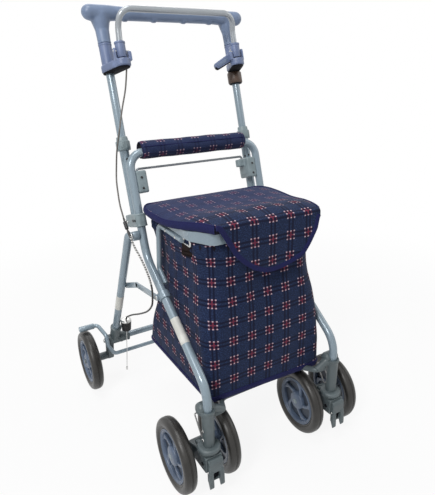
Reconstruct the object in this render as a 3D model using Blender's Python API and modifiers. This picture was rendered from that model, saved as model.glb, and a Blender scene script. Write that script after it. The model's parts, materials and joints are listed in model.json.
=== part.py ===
"""Shopping rollator: a folding walking aid with a seat, a shopping bag and six wheels.

Metres, +Z up. The front, where the casters are, faces -Y. "left" is the -X side.
Everything is drafted in one datum, and an empty at the end moves it so that the
origin is on the floor under the middle of the footprint.
"""

from math import acos, atan2, ceil, cos, pi, radians, sin, tan

import bmesh
import bpy
from mathutils import Matrix, Vector

# Clearances and counts
GAP = 0.0003
WELD = 0.00001
ROUND_STEPS = 16
WHEEL_STEPS = 24
ARC_SAGITTA = 0.0005
ARC_STEP = radians(45)

# Tubes of the frame; the widths of everything else are measured from FRAME_X
FRAME_X = 0.1315
FRAME_TUBE = 0.0075
POST_X = FRAME_X - 0.0035
POST_TUBE = 0.0085
UPPER_TUBE = 0.0074
POST_ACROSS = 0.029
LEAN = radians(16.5)
LEG_SLOPE = radians(34.1)
PIVOT = (-0.0361, 0.393)
FRONT_LEG_DROP = 0.0402
FRONT_LEG_SET = 0.0004
KNEE_BEND = 0.07
FOOT_BEND = 0.05
LOOP_BEND = 0.028
LOOP_ALONG = 0.1445

# Stations along the lean, measured up from the rear pivot
POST_BOTTOM = 0.0155
POST_TOP = 0.1619
CLAMP_SPAN = (0.0115, 0.0335)
CLAMP_WALL = 0.003
CLAMP_EAR = (0.0405, 0.052)
LOCK_SPAN = (0.073, 0.113)
LOCK_OUTER = FRAME_X - 0.0053
LOCK_INNER = FRAME_X - 0.026
LOCK_ACROSS = (-0.006, 0.031)
LUG_INNER = FRAME_X - 0.041
LUG_ACROSS = (0.004, 0.018)
COLLAR_BOTTOM = 0.1535
COLLAR_HEIGHT = 0.024
ROD_X = FRAME_X - 0.019
ROD_ALONG = 0.1178
ROD_ACROSS = 0.0253
ROD_RADIUS = 0.0018
UPPER_BOTTOM = 0.0315
UPPER_TOP = 0.365
RUBBER_SPAN = (0.265, 0.2865)
BAND_SPAN = (0.2875, 0.306)
BARREL_TOP = 0.3402

# Wheels and casters: a flat of the faceted tread rests on the floor
WHEEL_RADIUS = 0.065
AXLE_Z = WHEEL_RADIUS * cos(pi / WHEEL_STEPS)
TYRE_HALF_WIDTH = 0.0125
RIM_RADIUS = 0.047
HUB_HALF_WIDTH = 0.011
HUB_OPENINGS = 5
CASTER_Y = -0.2677
CASTER_TRAIL = 0.0423
TWIN_SPACING = 0.0824
FRONT_AXLE_RADIUS = 0.004
STEM_RADIUS = 0.006
STEM_TOP = 0.139
YOKE_TOP = 0.0882
YOKE_HALF_WIDTH = 0.015
YOKE_FRONT = CASTER_Y - 0.0173
SOCKET_TOP = 0.166
SOCKET_WALL = 0.0028
SOCKET_RADIUS = FRAME_TUBE + SOCKET_WALL
LEG_SEAT = 0.1522
CLIP_HINGE = (CASTER_Y + 0.0117, 0.108)
CLIP_TIP = (CASTER_Y + 0.0347, 0.13)
CLIP_HALF_WIDTH = 0.0056
CLIP_WIRE = 0.0011
CLAW_HINGE = (YOKE_FRONT - GAP - 0.0035, 0.0605)
CLAW_TIP_Y = -0.2987
CLAW_HALF_WIDTH = 0.013

# Brake bar and parking lever
BAR_X = POST_X - 0.0132
BAR_ALONG = 0.3168
BAR_ACROSS = -0.0095
BAR_TUBE = 0.005
BAR_BARREL = 0.01
BAR_BARREL_TOP = 0.3285
BAR_SHOULDER = (BAR_X - 0.0017, 0.356)
BAR_TOP = (BAR_X - 0.0048, 0.047, 0.764)
BAR_PIN = 0.002
EAR_THICKNESS = 0.0027
EAR_CLEARANCE = 0.0008
LEVER_X = BAR_X - 0.0098
LEVER_ALONG = 0.2985
LEVER_ACROSS = -0.004
LEVER_THICKNESS = 0.0084
LEVER_TIP = (-0.0335, -0.0085)
LEVER_PIN = 0.0015

# Handle grip
GRIP_HALF_LENGTH = POST_X + 0.032
GRIP_RADIUS = 0.0128
GRIP_CENTRE = (0.099, 0.762)
STEM_END = 0.387
STEM_FOOT_RADIUS = 0.0108
STEM_HEAD_RADIUS = 0.0125

# Rear frame
LEG_TUBE = 0.0075
EYE_INNER = FRAME_X + FRAME_TUBE + GAP
EYE_SPAN = (EYE_INNER, EYE_INNER + 0.0117)
EYE_RADIUS = 0.0085
STUD_RADIUS = 0.003
STUD_HEAD = 0.0055
STUD_HEAD_HEIGHT = 0.0022
STAY_INNER = EYE_INNER + 0.0039
STAY_SPAN = (STAY_INNER, STAY_INNER + 0.003)
LEG_HIP = (EYE_INNER + 0.0102, -0.012, 0.388)
LEG_BEND = 0.012
JOINT_CENTRE = (LEG_HIP[0] + 0.0105, 0.12, 0.106)
JOINT_X = JOINT_CENTRE[0]
LEG_END = 0.0153
CROSS_TUBE = 0.0065
CROSS_HALF = JOINT_X - 0.0105
BARREL_SPAN = (JOINT_X - 0.032, JOINT_X + 0.016)
BARREL_RADIUS = 0.0115
SLEEVE_RADIUS = 0.0108
SLEEVE_LENGTH = 0.041
ARM_SPAN = (JOINT_X + 0.005, JOINT_X + 0.018)
ARM_FOOT_RADIUS = 0.0095
SPACER_RADIUS = 0.0085
STUB_RADIUS = 0.005
BRAKE_PIN = 0.003
REAR_WHEEL_X = JOINT_X + 0.0557
REAR_AXLE_Y = 0.1283

# Stays
STAY_PIVOT = (0.0469, 0.262)
STAY_KNEE = (-0.02, 0.29)
STAY_HALF_WIDTH = 0.0055
STAY_HEAD = 0.005
STAY_HEAD_HEIGHT = 0.0012
SLIDE_DISTANCE = 0.0848
SLIDE_LENGTH = 0.014
SLIDE_RADIUS = FRAME_TUBE + 0.003

# Brake rod: its arms hang from pins on the joint castings
SHOE_CENTRE = (0.143, 0.1365)
SHOE_SPAN = (REAR_WHEEL_X - 0.0202, REAR_WHEEL_X + 0.012)
SHOE_RADIUS = 0.0062
BRAKE_ROD = 0.0042
ROD_EYE_SPAN = (BARREL_SPAN[1] + 0.0028, BARREL_SPAN[1] + 0.0058)
ROD_ARM_X = BARREL_SPAN[1] + 0.0045
ROD_ARM = ((0.106, 0.1255), (0.1008, 0.103))
ROD_CROSS = (JOINT_X + 0.008, 0.103, 0.078)

# Seat, lid, bag, roll
BRACKET_TUBE = 0.0045
BRACKET_X = FRAME_X - FRAME_TUBE - BRACKET_TUBE - 0.0004
RIM_TOP = 0.4368
RIM_THICKNESS = 0.008
RIM_HALF_WIDTH = BRACKET_X - 0.0001
RIM_DEPTH = (-0.238, -0.05)
RIM_BORDER = 0.017
LID_DEPTH = (-0.2515, -0.0335)
LID_REAR_HALF = RIM_HALF_WIDTH - 0.001
LID_SWELL = 0.0165
LID_TAPER = 0.036
LID_EDGE = 0.0125
LID_CROWN = 0.006
FLAP_THICKNESS = 0.003
ROLL_RADIUS = 0.0167
ROLL_HALF_LENGTH = FRAME_X - 0.0245
ROLL_OFFSET = (0.0068, 0.0025)
BAG_WALL = 0.002
BAG_FLOOR = (0.1505, 0.142)
BAG_CORNER = 0.01
BAG_INSET = 0.006
STRAP_X = BRACKET_X - BRACKET_TUBE - 0.0013
STRAP_THICKNESS = 0.002
CROSSBAR_TUBE = 0.0055
CABLE_RADIUS = 0.0018
ADJUSTER_FOOT = (-0.14, 0.0905, 0.134)
ADJUSTER_TOP = (-0.14, 0.088, 0.161)
ADJUSTER_RADIUS = 0.0066

UP = Vector((0, sin(LEAN), cos(LEAN)))
BACK = Vector((0, cos(LEAN), -sin(LEAN)))
DOWN_LEG = Vector((0, -cos(LEG_SLOPE), -sin(LEG_SLOPE)))
SIDES = {"left": -1, "right": 1}


def fit_bore(radius, steps=ROUND_STEPS):
    """A faceted bore whose flats clear a shaft of this radius by GAP."""
    return (radius + GAP) / cos(pi / steps)


def lean(x, along, across=0.0):
    """A point by its distance up the lean from the rear pivot and behind the upright."""
    return Vector((x, *PIVOT)) + UP * along + BACK * across


def lean_matrix(x, along, across=0.0):
    """Local X is world X, local Y is across, local Z is along the lean."""
    columns = Matrix((Vector((1, 0, 0)), BACK, UP)).transposed().to_4x4()
    return Matrix.Translation(lean(x, along, across)) @ columns


def side_matrix(x, origin=(0, 0)):
    """Local X is world Y, local Y is world Z, local Z is world X: for plates seen from the side."""
    columns = Matrix(((0, 0, 1), (1, 0, 0), (0, 1, 0))).to_4x4()
    return Matrix.Translation((x, *origin)) @ columns


def moved(outline, origin):
    """The outline measured from another origin."""
    return [Vector(point) - Vector(origin) for point in outline]


def front_matrix(y):
    """Local X is world X, local Y is world Z: for plates seen from the front."""
    return Matrix.Translation((0, y, 0)) @ Matrix.Rotation(radians(90), 4, "X")


def along_axis(start, direction):
    turn = Vector(direction).to_track_quat("Z", "Y").to_matrix().to_4x4()
    return Matrix.Translation(start) @ turn


def knee():
    """Where the upright and the front leg's line meet, in (y, z)."""
    y, z = PIVOT
    return Vector((FRAME_X, y - FRONT_LEG_DROP * tan(LEAN), z - FRONT_LEG_DROP + FRONT_LEG_SET))


def leg_point(distance, x=FRAME_X):
    point = knee() + DOWN_LEG * distance
    point.x = x
    return point


def foot_corner():
    distance = (knee().y - CASTER_Y) / cos(LEG_SLOPE)
    return leg_point(distance)


def filleted(corners, radius, closed=False):
    """The corner points with each corner rounded by arcs of the radius given."""
    corners = [Vector(corner) for corner in corners]
    radii = radius if isinstance(radius, (list, tuple)) else [radius] * len(corners)
    count = len(corners)
    path = []
    for index, corner in enumerate(corners):
        if not closed and index in (0, count - 1):
            path.append(corner)
            continue
        towards = (corners[index - 1] - corner).normalized()
        away = (corners[(index + 1) % count] - corner).normalized()
        bend = pi - towards.angle(away)
        reach = radii[index] * tan(bend / 2)
        centre = corner + (towards + away).normalized() * radii[index] / cos(bend / 2)
        first = corner + towards * reach - centre
        last = corner + away * reach - centre
        widest = 2 * acos(1 - min(ARC_SAGITTA / radii[index], 0.2))
        steps = max(2, ceil(bend / min(widest, ARC_STEP)))
        for step in range(steps + 1):
            share = step / steps
            mixed = first * sin((1 - share) * bend) + last * sin(share * bend)
            path.append(centre + mixed / sin(bend))
    return path


def box_outline(low, high, radius):
    corners = [(low[0], low[1]), (high[0], low[1]), (high[0], high[1]), (low[0], high[1])]
    return filleted(corners, radius, closed=True)


def disc_hull(first, first_radius, second, second_radius, steps=6):
    """The outline of a plate that runs from one round end to another."""
    first, second = Vector(first), Vector(second)
    heading = atan2(second.y - first.y, second.x - first.x)
    outline = []
    for centre, radius, start in ((first, first_radius, pi / 2), (second, second_radius, -pi / 2)):
        for step in range(steps + 1):
            angle = heading + start + pi * step / steps
            outline.append(centre + Vector((cos(angle), sin(angle))) * radius)
    return outline


def collection(name, helpers=False):
    made = bpy.data.collections.new(name)
    bpy.context.scene.collection.children.link(made)
    made.hide_render = helpers
    return made


def material(name, colour, roughness, metallic=0.0):
    made = bpy.data.materials.new(name)
    made.use_nodes = True
    shader = made.node_tree.nodes["Principled BSDF"]
    shader.inputs["Base Color"].default_value = (*colour, 1)
    shader.inputs["Roughness"].default_value = roughness
    shader.inputs["Metallic"].default_value = metallic
    return made


def place(obj, matrix, finish=None):
    """Puts a new object in the parts' collection, or among the cutters if it has no finish."""
    (CUTTERS if finish is None else PARTS).objects.link(obj)
    obj.matrix_world = matrix
    if finish is None:
        obj.hide_render = True
        obj.display_type = "WIRE"
    else:
        obj.data.materials.append(finish)
    return obj


def as_mesh(obj):
    """A curve turned into a mesh object of the same name and place, with its caps welded."""
    if obj.type == "MESH":
        return obj
    graph = bpy.context.evaluated_depsgraph_get()
    mesh = bpy.data.meshes.new_from_object(obj.evaluated_get(graph))
    shape = bmesh.new()
    shape.from_mesh(mesh)
    bmesh.ops.remove_doubles(shape, verts=shape.verts, dist=WELD)
    bmesh.ops.recalc_face_normals(shape, faces=shape.faces)
    shape.to_mesh(mesh)
    shape.free()
    name, matrix, home = obj.name, obj.matrix_world.copy(), obj.users_collection[0]
    helper = obj.hide_render
    bpy.data.objects.remove(obj)
    solid = bpy.data.objects.new(name, mesh)
    home.objects.link(solid)
    solid.matrix_world = matrix
    solid.hide_render = helper
    if helper:
        solid.display_type = "WIRE"
    return solid


def turned(name, profile, matrix, finish=None, closed=False, steps=ROUND_STEPS):
    """A profile of (radius, height) points turned about the local Z axis."""
    mesh = bpy.data.meshes.new(name)
    edges = [(index, index + 1) for index in range(len(profile) - 1)]
    if closed:
        edges.append((len(profile) - 1, 0))
    mesh.from_pydata([(radius, 0, height) for radius, height in profile], edges, [])
    obj = place(bpy.data.objects.new(name, mesh), matrix, finish)
    screw = obj.modifiers.new("turn", "SCREW")
    screw.axis = "Z"
    screw.angle = 2 * pi
    screw.steps = screw.render_steps = steps
    screw.use_merge_vertices = True
    screw.merge_threshold = WELD
    screw.use_smooth_shade = True
    return obj


def rod(name, start, end, radius, finish=None, end_radius=None, steps=ROUND_STEPS):
    """A round bar, or a cone, between two points."""
    start, end = Vector(start), Vector(end)
    shape = bmesh.new()
    length = (end - start).length
    bmesh.ops.create_cone(
        shape,
        cap_ends=True,
        segments=steps,
        radius1=radius,
        radius2=radius if end_radius is None else end_radius,
        depth=length,
        matrix=Matrix.Translation((0, 0, length / 2)),
    )
    mesh = bpy.data.meshes.new(name)
    shape.to_mesh(mesh)
    shape.free()
    mesh.shade_smooth()
    mesh.set_sharp_from_angle(angle=radians(40))
    return place(bpy.data.objects.new(name, mesh), along_axis(start, end - start), finish)


def block(name, low, high, matrix, finish=None):
    """A box between two corners of the matrix's own axes."""
    low, high = Vector(low), Vector(high)
    shape = bmesh.new()
    bmesh.ops.create_cube(shape, size=1)
    bmesh.ops.scale(shape, vec=high - low, verts=shape.verts)
    bmesh.ops.translate(shape, vec=(low + high) / 2, verts=shape.verts)
    mesh = bpy.data.meshes.new(name)
    shape.to_mesh(mesh)
    shape.free()
    return place(bpy.data.objects.new(name, mesh), matrix, finish)


def tube(name, path, radius, finish=None, origin=(0, 0, 0), sides=12, widths=None):
    """A round tube along a path of points."""
    curve = bpy.data.curves.new(name, "CURVE")
    curve.dimensions = "3D"
    curve.bevel_depth = radius
    curve.bevel_resolution = (sides - 4) // 2
    curve.use_fill_caps = True
    spline = curve.splines.new("POLY")
    spline.points.add(len(path) - 1)
    for index, point in enumerate(path):
        spline.points[index].co = (*(Vector(point) - Vector(origin)), 1)
        spline.points[index].radius = widths[index] if widths else 1
    return place(bpy.data.objects.new(name, curve), Matrix.Translation(origin), finish)


def plate(name, outline, span, matrix, finish=None):
    """A flat outline given a thickness from span[0] to span[1] along the matrix's Z."""
    curve = bpy.data.curves.new(name, "CURVE")
    curve.dimensions = "2D"
    curve.fill_mode = "BOTH"
    curve.extrude = abs(span[1] - span[0]) / 2
    spline = curve.splines.new("POLY")
    spline.points.add(len(outline) - 1)
    for index, point in enumerate(outline):
        spline.points[index].co = (point[0], point[1], 0, 1)
    spline.use_cyclic_u = True
    middle = Matrix.Translation((0, 0, (span[0] + span[1]) / 2))
    return place(bpy.data.objects.new(name, curve), matrix @ middle, finish)


def combine(obj, others, operation):
    obj = as_mesh(obj)
    for other in others:
        helper = as_mesh(other)
        step = obj.modifiers.new(helper.name, "BOOLEAN")
        step.operation = operation
        step.solver = "EXACT"
        step.object = helper
    return obj


def join(obj, *others):
    return combine(obj, others, "UNION")


def cut(obj, *others):
    return combine(obj, others, "DIFFERENCE")


def mirrored(points, side):
    return [(point[0] * side, *point[1:]) for point in points]


def front_frame_tube():
    """One bent tube: front leg, upright, backrest loop, upright, front leg, with the rear pivots' studs."""
    foot = foot_corner()
    half = [
        (FRAME_X, CASTER_Y, LEG_SEAT + GAP),
        foot,
        knee(),
        lean(FRAME_X, LOOP_ALONG),
    ]
    path = [Vector((-point[0], point[1], point[2])) for point in half] + [Vector(p) for p in half[::-1]]
    bends = [0, FOOT_BEND, KNEE_BEND, LOOP_BEND, LOOP_BEND, KNEE_BEND, FOOT_BEND, 0]
    frame = tube("front_frame_tube", filleted(path, bends), FRAME_TUBE, STEEL)
    studs = []
    for label, side in SIDES.items():
        end = EYE_SPAN[1] + GAP
        studs.append(
            rod(f"stud_{label}", (side * FRAME_X, *PIVOT), (side * (end + 0.001), *PIVOT), STUD_RADIUS)
        )
        studs.append(
            rod(
                f"stud_head_{label}",
                (side * end, *PIVOT),
                (side * (end + STUD_HEAD_HEIGHT), *PIVOT),
                STUD_HEAD,
            )
        )
    return join(frame, *studs)


def posts(label, side):
    x = side * POST_X
    length = POST_TOP - POST_BOTTOM
    bore = fit_bore(UPPER_TUBE)
    profile = [(bore, length), (POST_TUBE, length), (POST_TUBE, 0), (bore, 0)]
    turned(f"post_{label}", profile, along_axis(lean(x, POST_BOTTOM, POST_ACROSS), UP), STEEL, closed=True)
    rod(
        f"upper_post_{label}",
        lean(x, UPPER_BOTTOM, POST_ACROSS),
        lean(x, UPPER_TOP, POST_ACROSS),
        UPPER_TUBE,
        STEEL,
    )
    shoulder = POST_TOP - COLLAR_BOTTOM + GAP
    low_bore = fit_bore(POST_TUBE)
    profile = [
        (bore, COLLAR_HEIGHT),
        (0.0099, COLLAR_HEIGHT),
        (0.0106, COLLAR_HEIGHT - 0.006),
        (0.0123, COLLAR_HEIGHT - 0.008),
        (0.0126, 0),
        (low_bore, 0),
        (low_bore, shoulder),
        (bore, shoulder),
    ]
    matrix = along_axis(lean(x, COLLAR_BOTTOM, POST_ACROSS), UP)
    turned(f"post_collar_{label}", profile, matrix, GREEN_GREY, closed=True)


def tube_cutters(label, side, span, what):
    """Round cutters for the upright and the post over a span of the lean."""
    low, high = span
    return (
        rod(
            f"{what}_upright_bore_{label}",
            lean(side * FRAME_X, low),
            lean(side * FRAME_X, high),
            fit_bore(FRAME_TUBE),
        ),
        rod(
            f"{what}_post_bore_{label}",
            lean(side * POST_X, max(low, POST_BOTTOM - GAP), POST_ACROSS),
            lean(side * POST_X, high, POST_ACROSS),
            fit_bore(POST_TUBE),
        ),
    )


def frame_clamp(label, side):
    """The band that ties the post's foot to the upright, with a riveted ear behind."""
    inner = POST_X - POST_TUBE - CLAMP_WALL / 2
    outer = FRAME_X + FRAME_TUBE + CLAMP_WALL - 0.0002
    front = -FRAME_TUBE - CLAMP_WALL
    rear, end = CLAMP_EAR
    corners = [
        (inner, front),
        (outer, front),
        (outer, end),
        (FRAME_X + 0.002, end),
        (FRAME_X, rear),
        (inner, rear),
    ]
    outline = filleted(corners, [0.006, 0.006, 0.003, 0.003, 0.0025, 0.006], closed=True)
    clamp = plate(
        f"frame_clamp_{label}", mirrored(outline, side), CLAMP_SPAN, lean_matrix(0, 0), GREEN_GREY
    )
    return cut(clamp, *tube_cutters(label, side, (CLAMP_SPAN[0] - 0.005, CLAMP_SPAN[1] + 0.005), "clamp"))


def lock_housing(label, side):
    """The fold lock's casing on the inner side of the post and the upright, with a finger lug."""
    outline = box_outline((LOCK_INNER, LOCK_ACROSS[0]), (LOCK_OUTER, LOCK_ACROSS[1]), 0.004)
    housing = plate(
        f"lock_housing_{label}", mirrored(outline, side), LOCK_SPAN, lean_matrix(0, 0), GREEN_GREY
    )
    lug = plate(
        f"lock_lug_{label}",
        mirrored(box_outline((LUG_INNER, LUG_ACROSS[0]), (LOCK_INNER + 0.0035, LUG_ACROSS[1]), 0.005), side),
        (LOCK_SPAN[1] - 0.017, LOCK_SPAN[1] - 0.002),
        lean_matrix(0, 0),
    )
    pull_hole = rod(
        f"lock_hole_{label}",
        lean(side * ROD_X, LOCK_SPAN[1] - 0.012, ROD_ACROSS),
        lean(side * ROD_X, LOCK_SPAN[1] + 0.01, ROD_ACROSS),
        fit_bore(ROD_RADIUS, 8),
        steps=8,
    )
    span = (LOCK_SPAN[0] - 0.005, LOCK_SPAN[1] + 0.005)
    return cut(join(housing, lug), *tube_cutters(label, side, span, "lock"), pull_hole)


def release_rod():
    """The thin pull rod between the lock housings, its ends turned down into them."""
    foot = LOCK_SPAN[1] - 0.008
    corners = [
        lean(-ROD_X, foot, ROD_ACROSS),
        lean(-ROD_X, ROD_ALONG, ROD_ACROSS),
        lean(ROD_X, ROD_ALONG, ROD_ACROSS),
        lean(ROD_X, foot, ROD_ACROSS),
    ]
    return tube("release_rod", filleted(corners, 0.004), ROD_RADIUS, CHROME, sides=8)


def caster_socket(label, side):
    """The casting that takes the front leg from above and the caster's stem from below."""
    x = side * FRAME_X
    profile = [
        (0, SOCKET_TOP),
        (SOCKET_RADIUS, SOCKET_TOP),
        (SOCKET_RADIUS + 0.0002, 0.1005),
        (0.0148, 0.0988),
        (0.0183, 0.0978),
        (0.0188, YOKE_TOP + 0.0012),
        (0.018, YOKE_TOP + GAP),
        (0, YOKE_TOP + GAP),
    ]
    socket = turned(f"caster_socket_{label}", profile, Matrix.Translation((x, CASTER_Y, 0)), GREEN_GREY)
    near, far, low, high = CASTER_Y + 0.004, CASTER_Y + 0.041, SOCKET_TOP - 0.0295, SOCKET_TOP - 0.0005
    ear_corners = [(near, low), (far, low), (far, high), (near, high)]
    ear = plate(
        f"socket_ear_{label}",
        filleted(ear_corners, [0.002, 0.0142, 0.0142, 0.002], closed=True),
        (-0.004, 0.004),
        side_matrix(x),
    )
    lug = block(
        f"socket_lug_{label}",
        (min(x - side * 0.0127, x - side * 0.0045), CASTER_Y - 0.002, LEG_SEAT - 0.0097),
        (max(x - side * 0.0127, x - side * 0.0045), CASTER_Y + 0.014, LEG_SEAT + 0.0063),
        Matrix(),
    )
    clip_boss = block(
        f"socket_clip_boss_{label}",
        (x - 0.0022, CASTER_Y + 0.008, 0.1055),
        (x + 0.0022, CASTER_Y + 0.0142, 0.1105),
        Matrix(),
    )
    leg_bore = rod(
        f"socket_leg_bore_{label}",
        (x, CASTER_Y, LEG_SEAT),
        (x, CASTER_Y, SOCKET_TOP + 0.01),
        fit_bore(FRAME_TUBE),
    )
    stem_bore = rod(
        f"socket_stem_bore_{label}",
        (x, CASTER_Y, YOKE_TOP - 0.01),
        (x, CASTER_Y, STEM_TOP + 0.0005),
        fit_bore(STEM_RADIUS),
    )
    return cut(join(socket, ear, lug, clip_boss), leg_bore, stem_bore)


def lock_clip(label, side):
    """The bent wire that flips over behind the socket to hold the swivel."""
    x = side * FRAME_X
    near, far = CLIP_HALF_WIDTH - 0.0029, CLIP_HALF_WIDTH
    corners = [
        (x - near, *CLIP_HINGE),
        (x - far, *CLIP_HINGE),
        (x - far, *CLIP_TIP),
        (x + far, *CLIP_TIP),
        (x + far, *CLIP_HINGE),
        (x + near, *CLIP_HINGE),
    ]
    path = filleted(corners, 0.0012)
    return tube(f"lock_clip_{label}", path, CLIP_WIRE, CHROME, origin=(x, *CLIP_HINGE), sides=8)


def caster_yoke(label, side):
    """The swivelling body between the twin wheels, with its stem and the axle."""
    x = side * FRAME_X
    axle_y = CASTER_Y + CASTER_TRAIL
    origin = (CASTER_Y, YOKE_TOP)
    corners = [
        (YOKE_FRONT, AXLE_Z - 0.0065),
        (YOKE_FRONT, YOKE_TOP),
        (CASTER_Y + 0.018, YOKE_TOP),
        (axle_y + 0.0105, AXLE_Z + 0.0095),
        (axle_y + 0.0105, AXLE_Z - 0.01),
    ]
    outline = moved(filleted(corners, [0.004, 0.0015, 0.004, 0.007, 0.008], closed=True), origin)
    span = (-YOKE_HALF_WIDTH, YOKE_HALF_WIDTH)
    yoke = plate(f"caster_yoke_{label}", outline, span, side_matrix(x, origin), GREEN_GREY)
    stem = rod(f"yoke_stem_{label}", (x, CASTER_Y, YOKE_TOP - 0.01), (x, CASTER_Y, STEM_TOP), STEM_RADIUS)
    half = TWIN_SPACING / 2 - HUB_HALF_WIDTH - 0.0005
    boss = rod(f"yoke_boss_{label}", (x - half, axle_y, AXLE_Z), (x + half, axle_y, AXLE_Z), 0.007)
    reach = TWIN_SPACING / 2 + HUB_HALF_WIDTH
    axle = rod(
        f"yoke_axle_{label}",
        (x - reach, axle_y, AXLE_Z),
        (x + reach, axle_y, AXLE_Z),
        FRONT_AXLE_RADIUS,
    )
    return join(yoke, stem, boss, axle)


def step_claw(label, side):
    """The hinged two-pronged claw in front of the yoke that helps the casters over a kerb."""
    x = side * FRAME_X
    back = YOKE_FRONT - GAP - CLAW_HINGE[0]
    matrix = side_matrix(x, CLAW_HINGE)
    head = [
        (back, 0.023),
        (back, -0.001),
        (back - 0.0035, -0.0045),
        (back - 0.0073, -0.001),
        (back - 0.0073, 0.0195),
        (back - 0.005, 0.023),
    ]
    prong = [
        (back - 0.0004, 0),
        (back - 0.0035, -0.0105),
        (back - 0.0052, -0.0185),
        (back - 0.0078, -0.03),
        (CLAW_TIP_Y - CLAW_HINGE[0], -0.026),
        (back - 0.0102, -0.015),
        (back - 0.0102, -0.01),
        (back - 0.0071, 0),
    ]
    half = CLAW_HALF_WIDTH
    claw = plate(f"step_claw_{label}", head, (-half, half), matrix, GREEN_GREY)
    prongs = [
        plate(f"claw_prong_{label}_{index}", prong, span, matrix)
        for index, span in enumerate(((-half + 0.0002, -half + 0.0064), (half - 0.0064, half - 0.0002)))
    ]
    return join(claw, *prongs)


def hub_openings(name, matrix):
    """Slanted teardrop openings, as cutters, through a hub's web."""
    made = []
    for index in range(HUB_OPENINGS):
        turn = Matrix.Rotation(2 * pi * index / HUB_OPENINGS, 4, "Z")
        outline = disc_hull((0.0195, -0.002), 0.0035, (0.0322, 0.004), 0.0052, steps=2)
        made.append(plate(f"{name}_opening_{index}", outline, (-0.012, 0.012), matrix @ turn))
    return made


def wheel(name, centre, outward, bore_shaft):
    """A spoked hub and its tyre, turned about their axle; outward is the side the cap faces."""
    matrix = along_axis(centre, (outward, 0, 0)) @ Matrix.Rotation(pi / WHEEL_STEPS, 4, "Z")
    bore = fit_bore(bore_shaft, WHEEL_STEPS)
    seat = RIM_RADIUS - GAP
    half = HUB_HALF_WIDTH
    profile = [
        (bore, half),
        (0.0128, half),
        (0.014, 0.004),
        (0.0385, 0.004),
        (0.0402, 0.0092),
        (seat, 0.0092),
        (seat, -0.0092),
        (0.0398, -0.0092),
        (0.0385, -0.001),
        (0.0122, -0.001),
        (0.0122, -half),
        (bore, -half),
    ]
    hub = turned(f"{name}_hub", profile, matrix, HUB_BLUE, closed=True, steps=WHEEL_STEPS)
    cut(hub, *hub_openings(hub.name, matrix))
    wide = TYRE_HALF_WIDTH
    tread = WHEEL_RADIUS
    profile = [
        (RIM_RADIUS, 0.0092),
        (tread - 0.0085, wide),
        (tread - 0.0022, wide - 0.0036),
        (tread, wide - 0.0092),
        (tread, -wide + 0.0092),
        (tread - 0.0022, -wide + 0.0036),
        (tread - 0.0085, -wide),
        (RIM_RADIUS, -0.0092),
    ]
    turned(f"{name}_tyre", profile, matrix, RUBBER, closed=True, steps=WHEEL_STEPS)


def front_crossbar():
    """The tube under the bag that joins the two caster sockets."""
    y, z = CASTER_Y + 0.006, LEG_SEAT - 0.0017
    corners = [
        (FRAME_X - 0.013, y, z),
        (FRAME_X - 0.0315, y, z),
        (FRAME_X - 0.0465, CASTER_Y + 0.0417, z - 0.0077),
    ]
    path = mirrored(corners, -1) + corners[::-1]
    bends = [0, 0.012, 0.02, 0.02, 0.012, 0]
    return tube("front_crossbar", filleted(path, bends), CROSSBAR_TUBE, STEEL, sides=10)


def seat_bracket(label, side):
    """The bent rod from the front leg up to the seat rim."""
    x = side * BRACKET_X
    top = RIM_TOP - RIM_THICKNESS - GAP - BRACKET_TUBE
    corners = [(x, -0.099, 0.3185), (x, -0.0655, 0.337), (x, -0.0765, top), (x, -0.176, top)]
    path = filleted(corners, [0, 0.009, 0.014, 0])
    return tube(f"seat_bracket_{label}", path, BRACKET_TUBE, STEEL)


def seat_rim():
    """The plastic frame round the bag's mouth that carries the seat."""
    low, high = RIM_DEPTH
    span = (RIM_TOP - RIM_THICKNESS, RIM_TOP)
    nose = RIM_HALF_WIDTH - 0.022
    outer = [
        (-RIM_HALF_WIDTH, high),
        (-RIM_HALF_WIDTH, low + 0.04),
        (-nose, low),
        (nose, low),
        (RIM_HALF_WIDTH, low + 0.04),
        (RIM_HALF_WIDTH, high),
    ]
    rim = plate("seat_rim", filleted(outer, 0.012, closed=True), span, Matrix(), GREEN_GREY)
    mouth_half = RIM_HALF_WIDTH - RIM_BORDER - 0.004
    inner = box_outline((-mouth_half, low + RIM_BORDER), (mouth_half, high - RIM_BORDER), 0.02)
    mouth = plate("seat_rim_mouth", inner, (span[0] - 0.005, span[1] + 0.005), Matrix())
    return cut(rim, mouth)


def lid_half_width(y):
    """Half the lid's width at a depth: full behind the middle, drawn in to the front corners."""
    rear, front = LID_DEPTH[1], LID_DEPTH[0]
    share = (rear - y) / (rear - front)
    swell = LID_SWELL * sin(min(share / 0.45, 1) * pi / 2)
    return LID_REAR_HALF + swell - LID_TAPER * (max(share - 0.5, 0) / 0.5) ** 1.6


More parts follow.
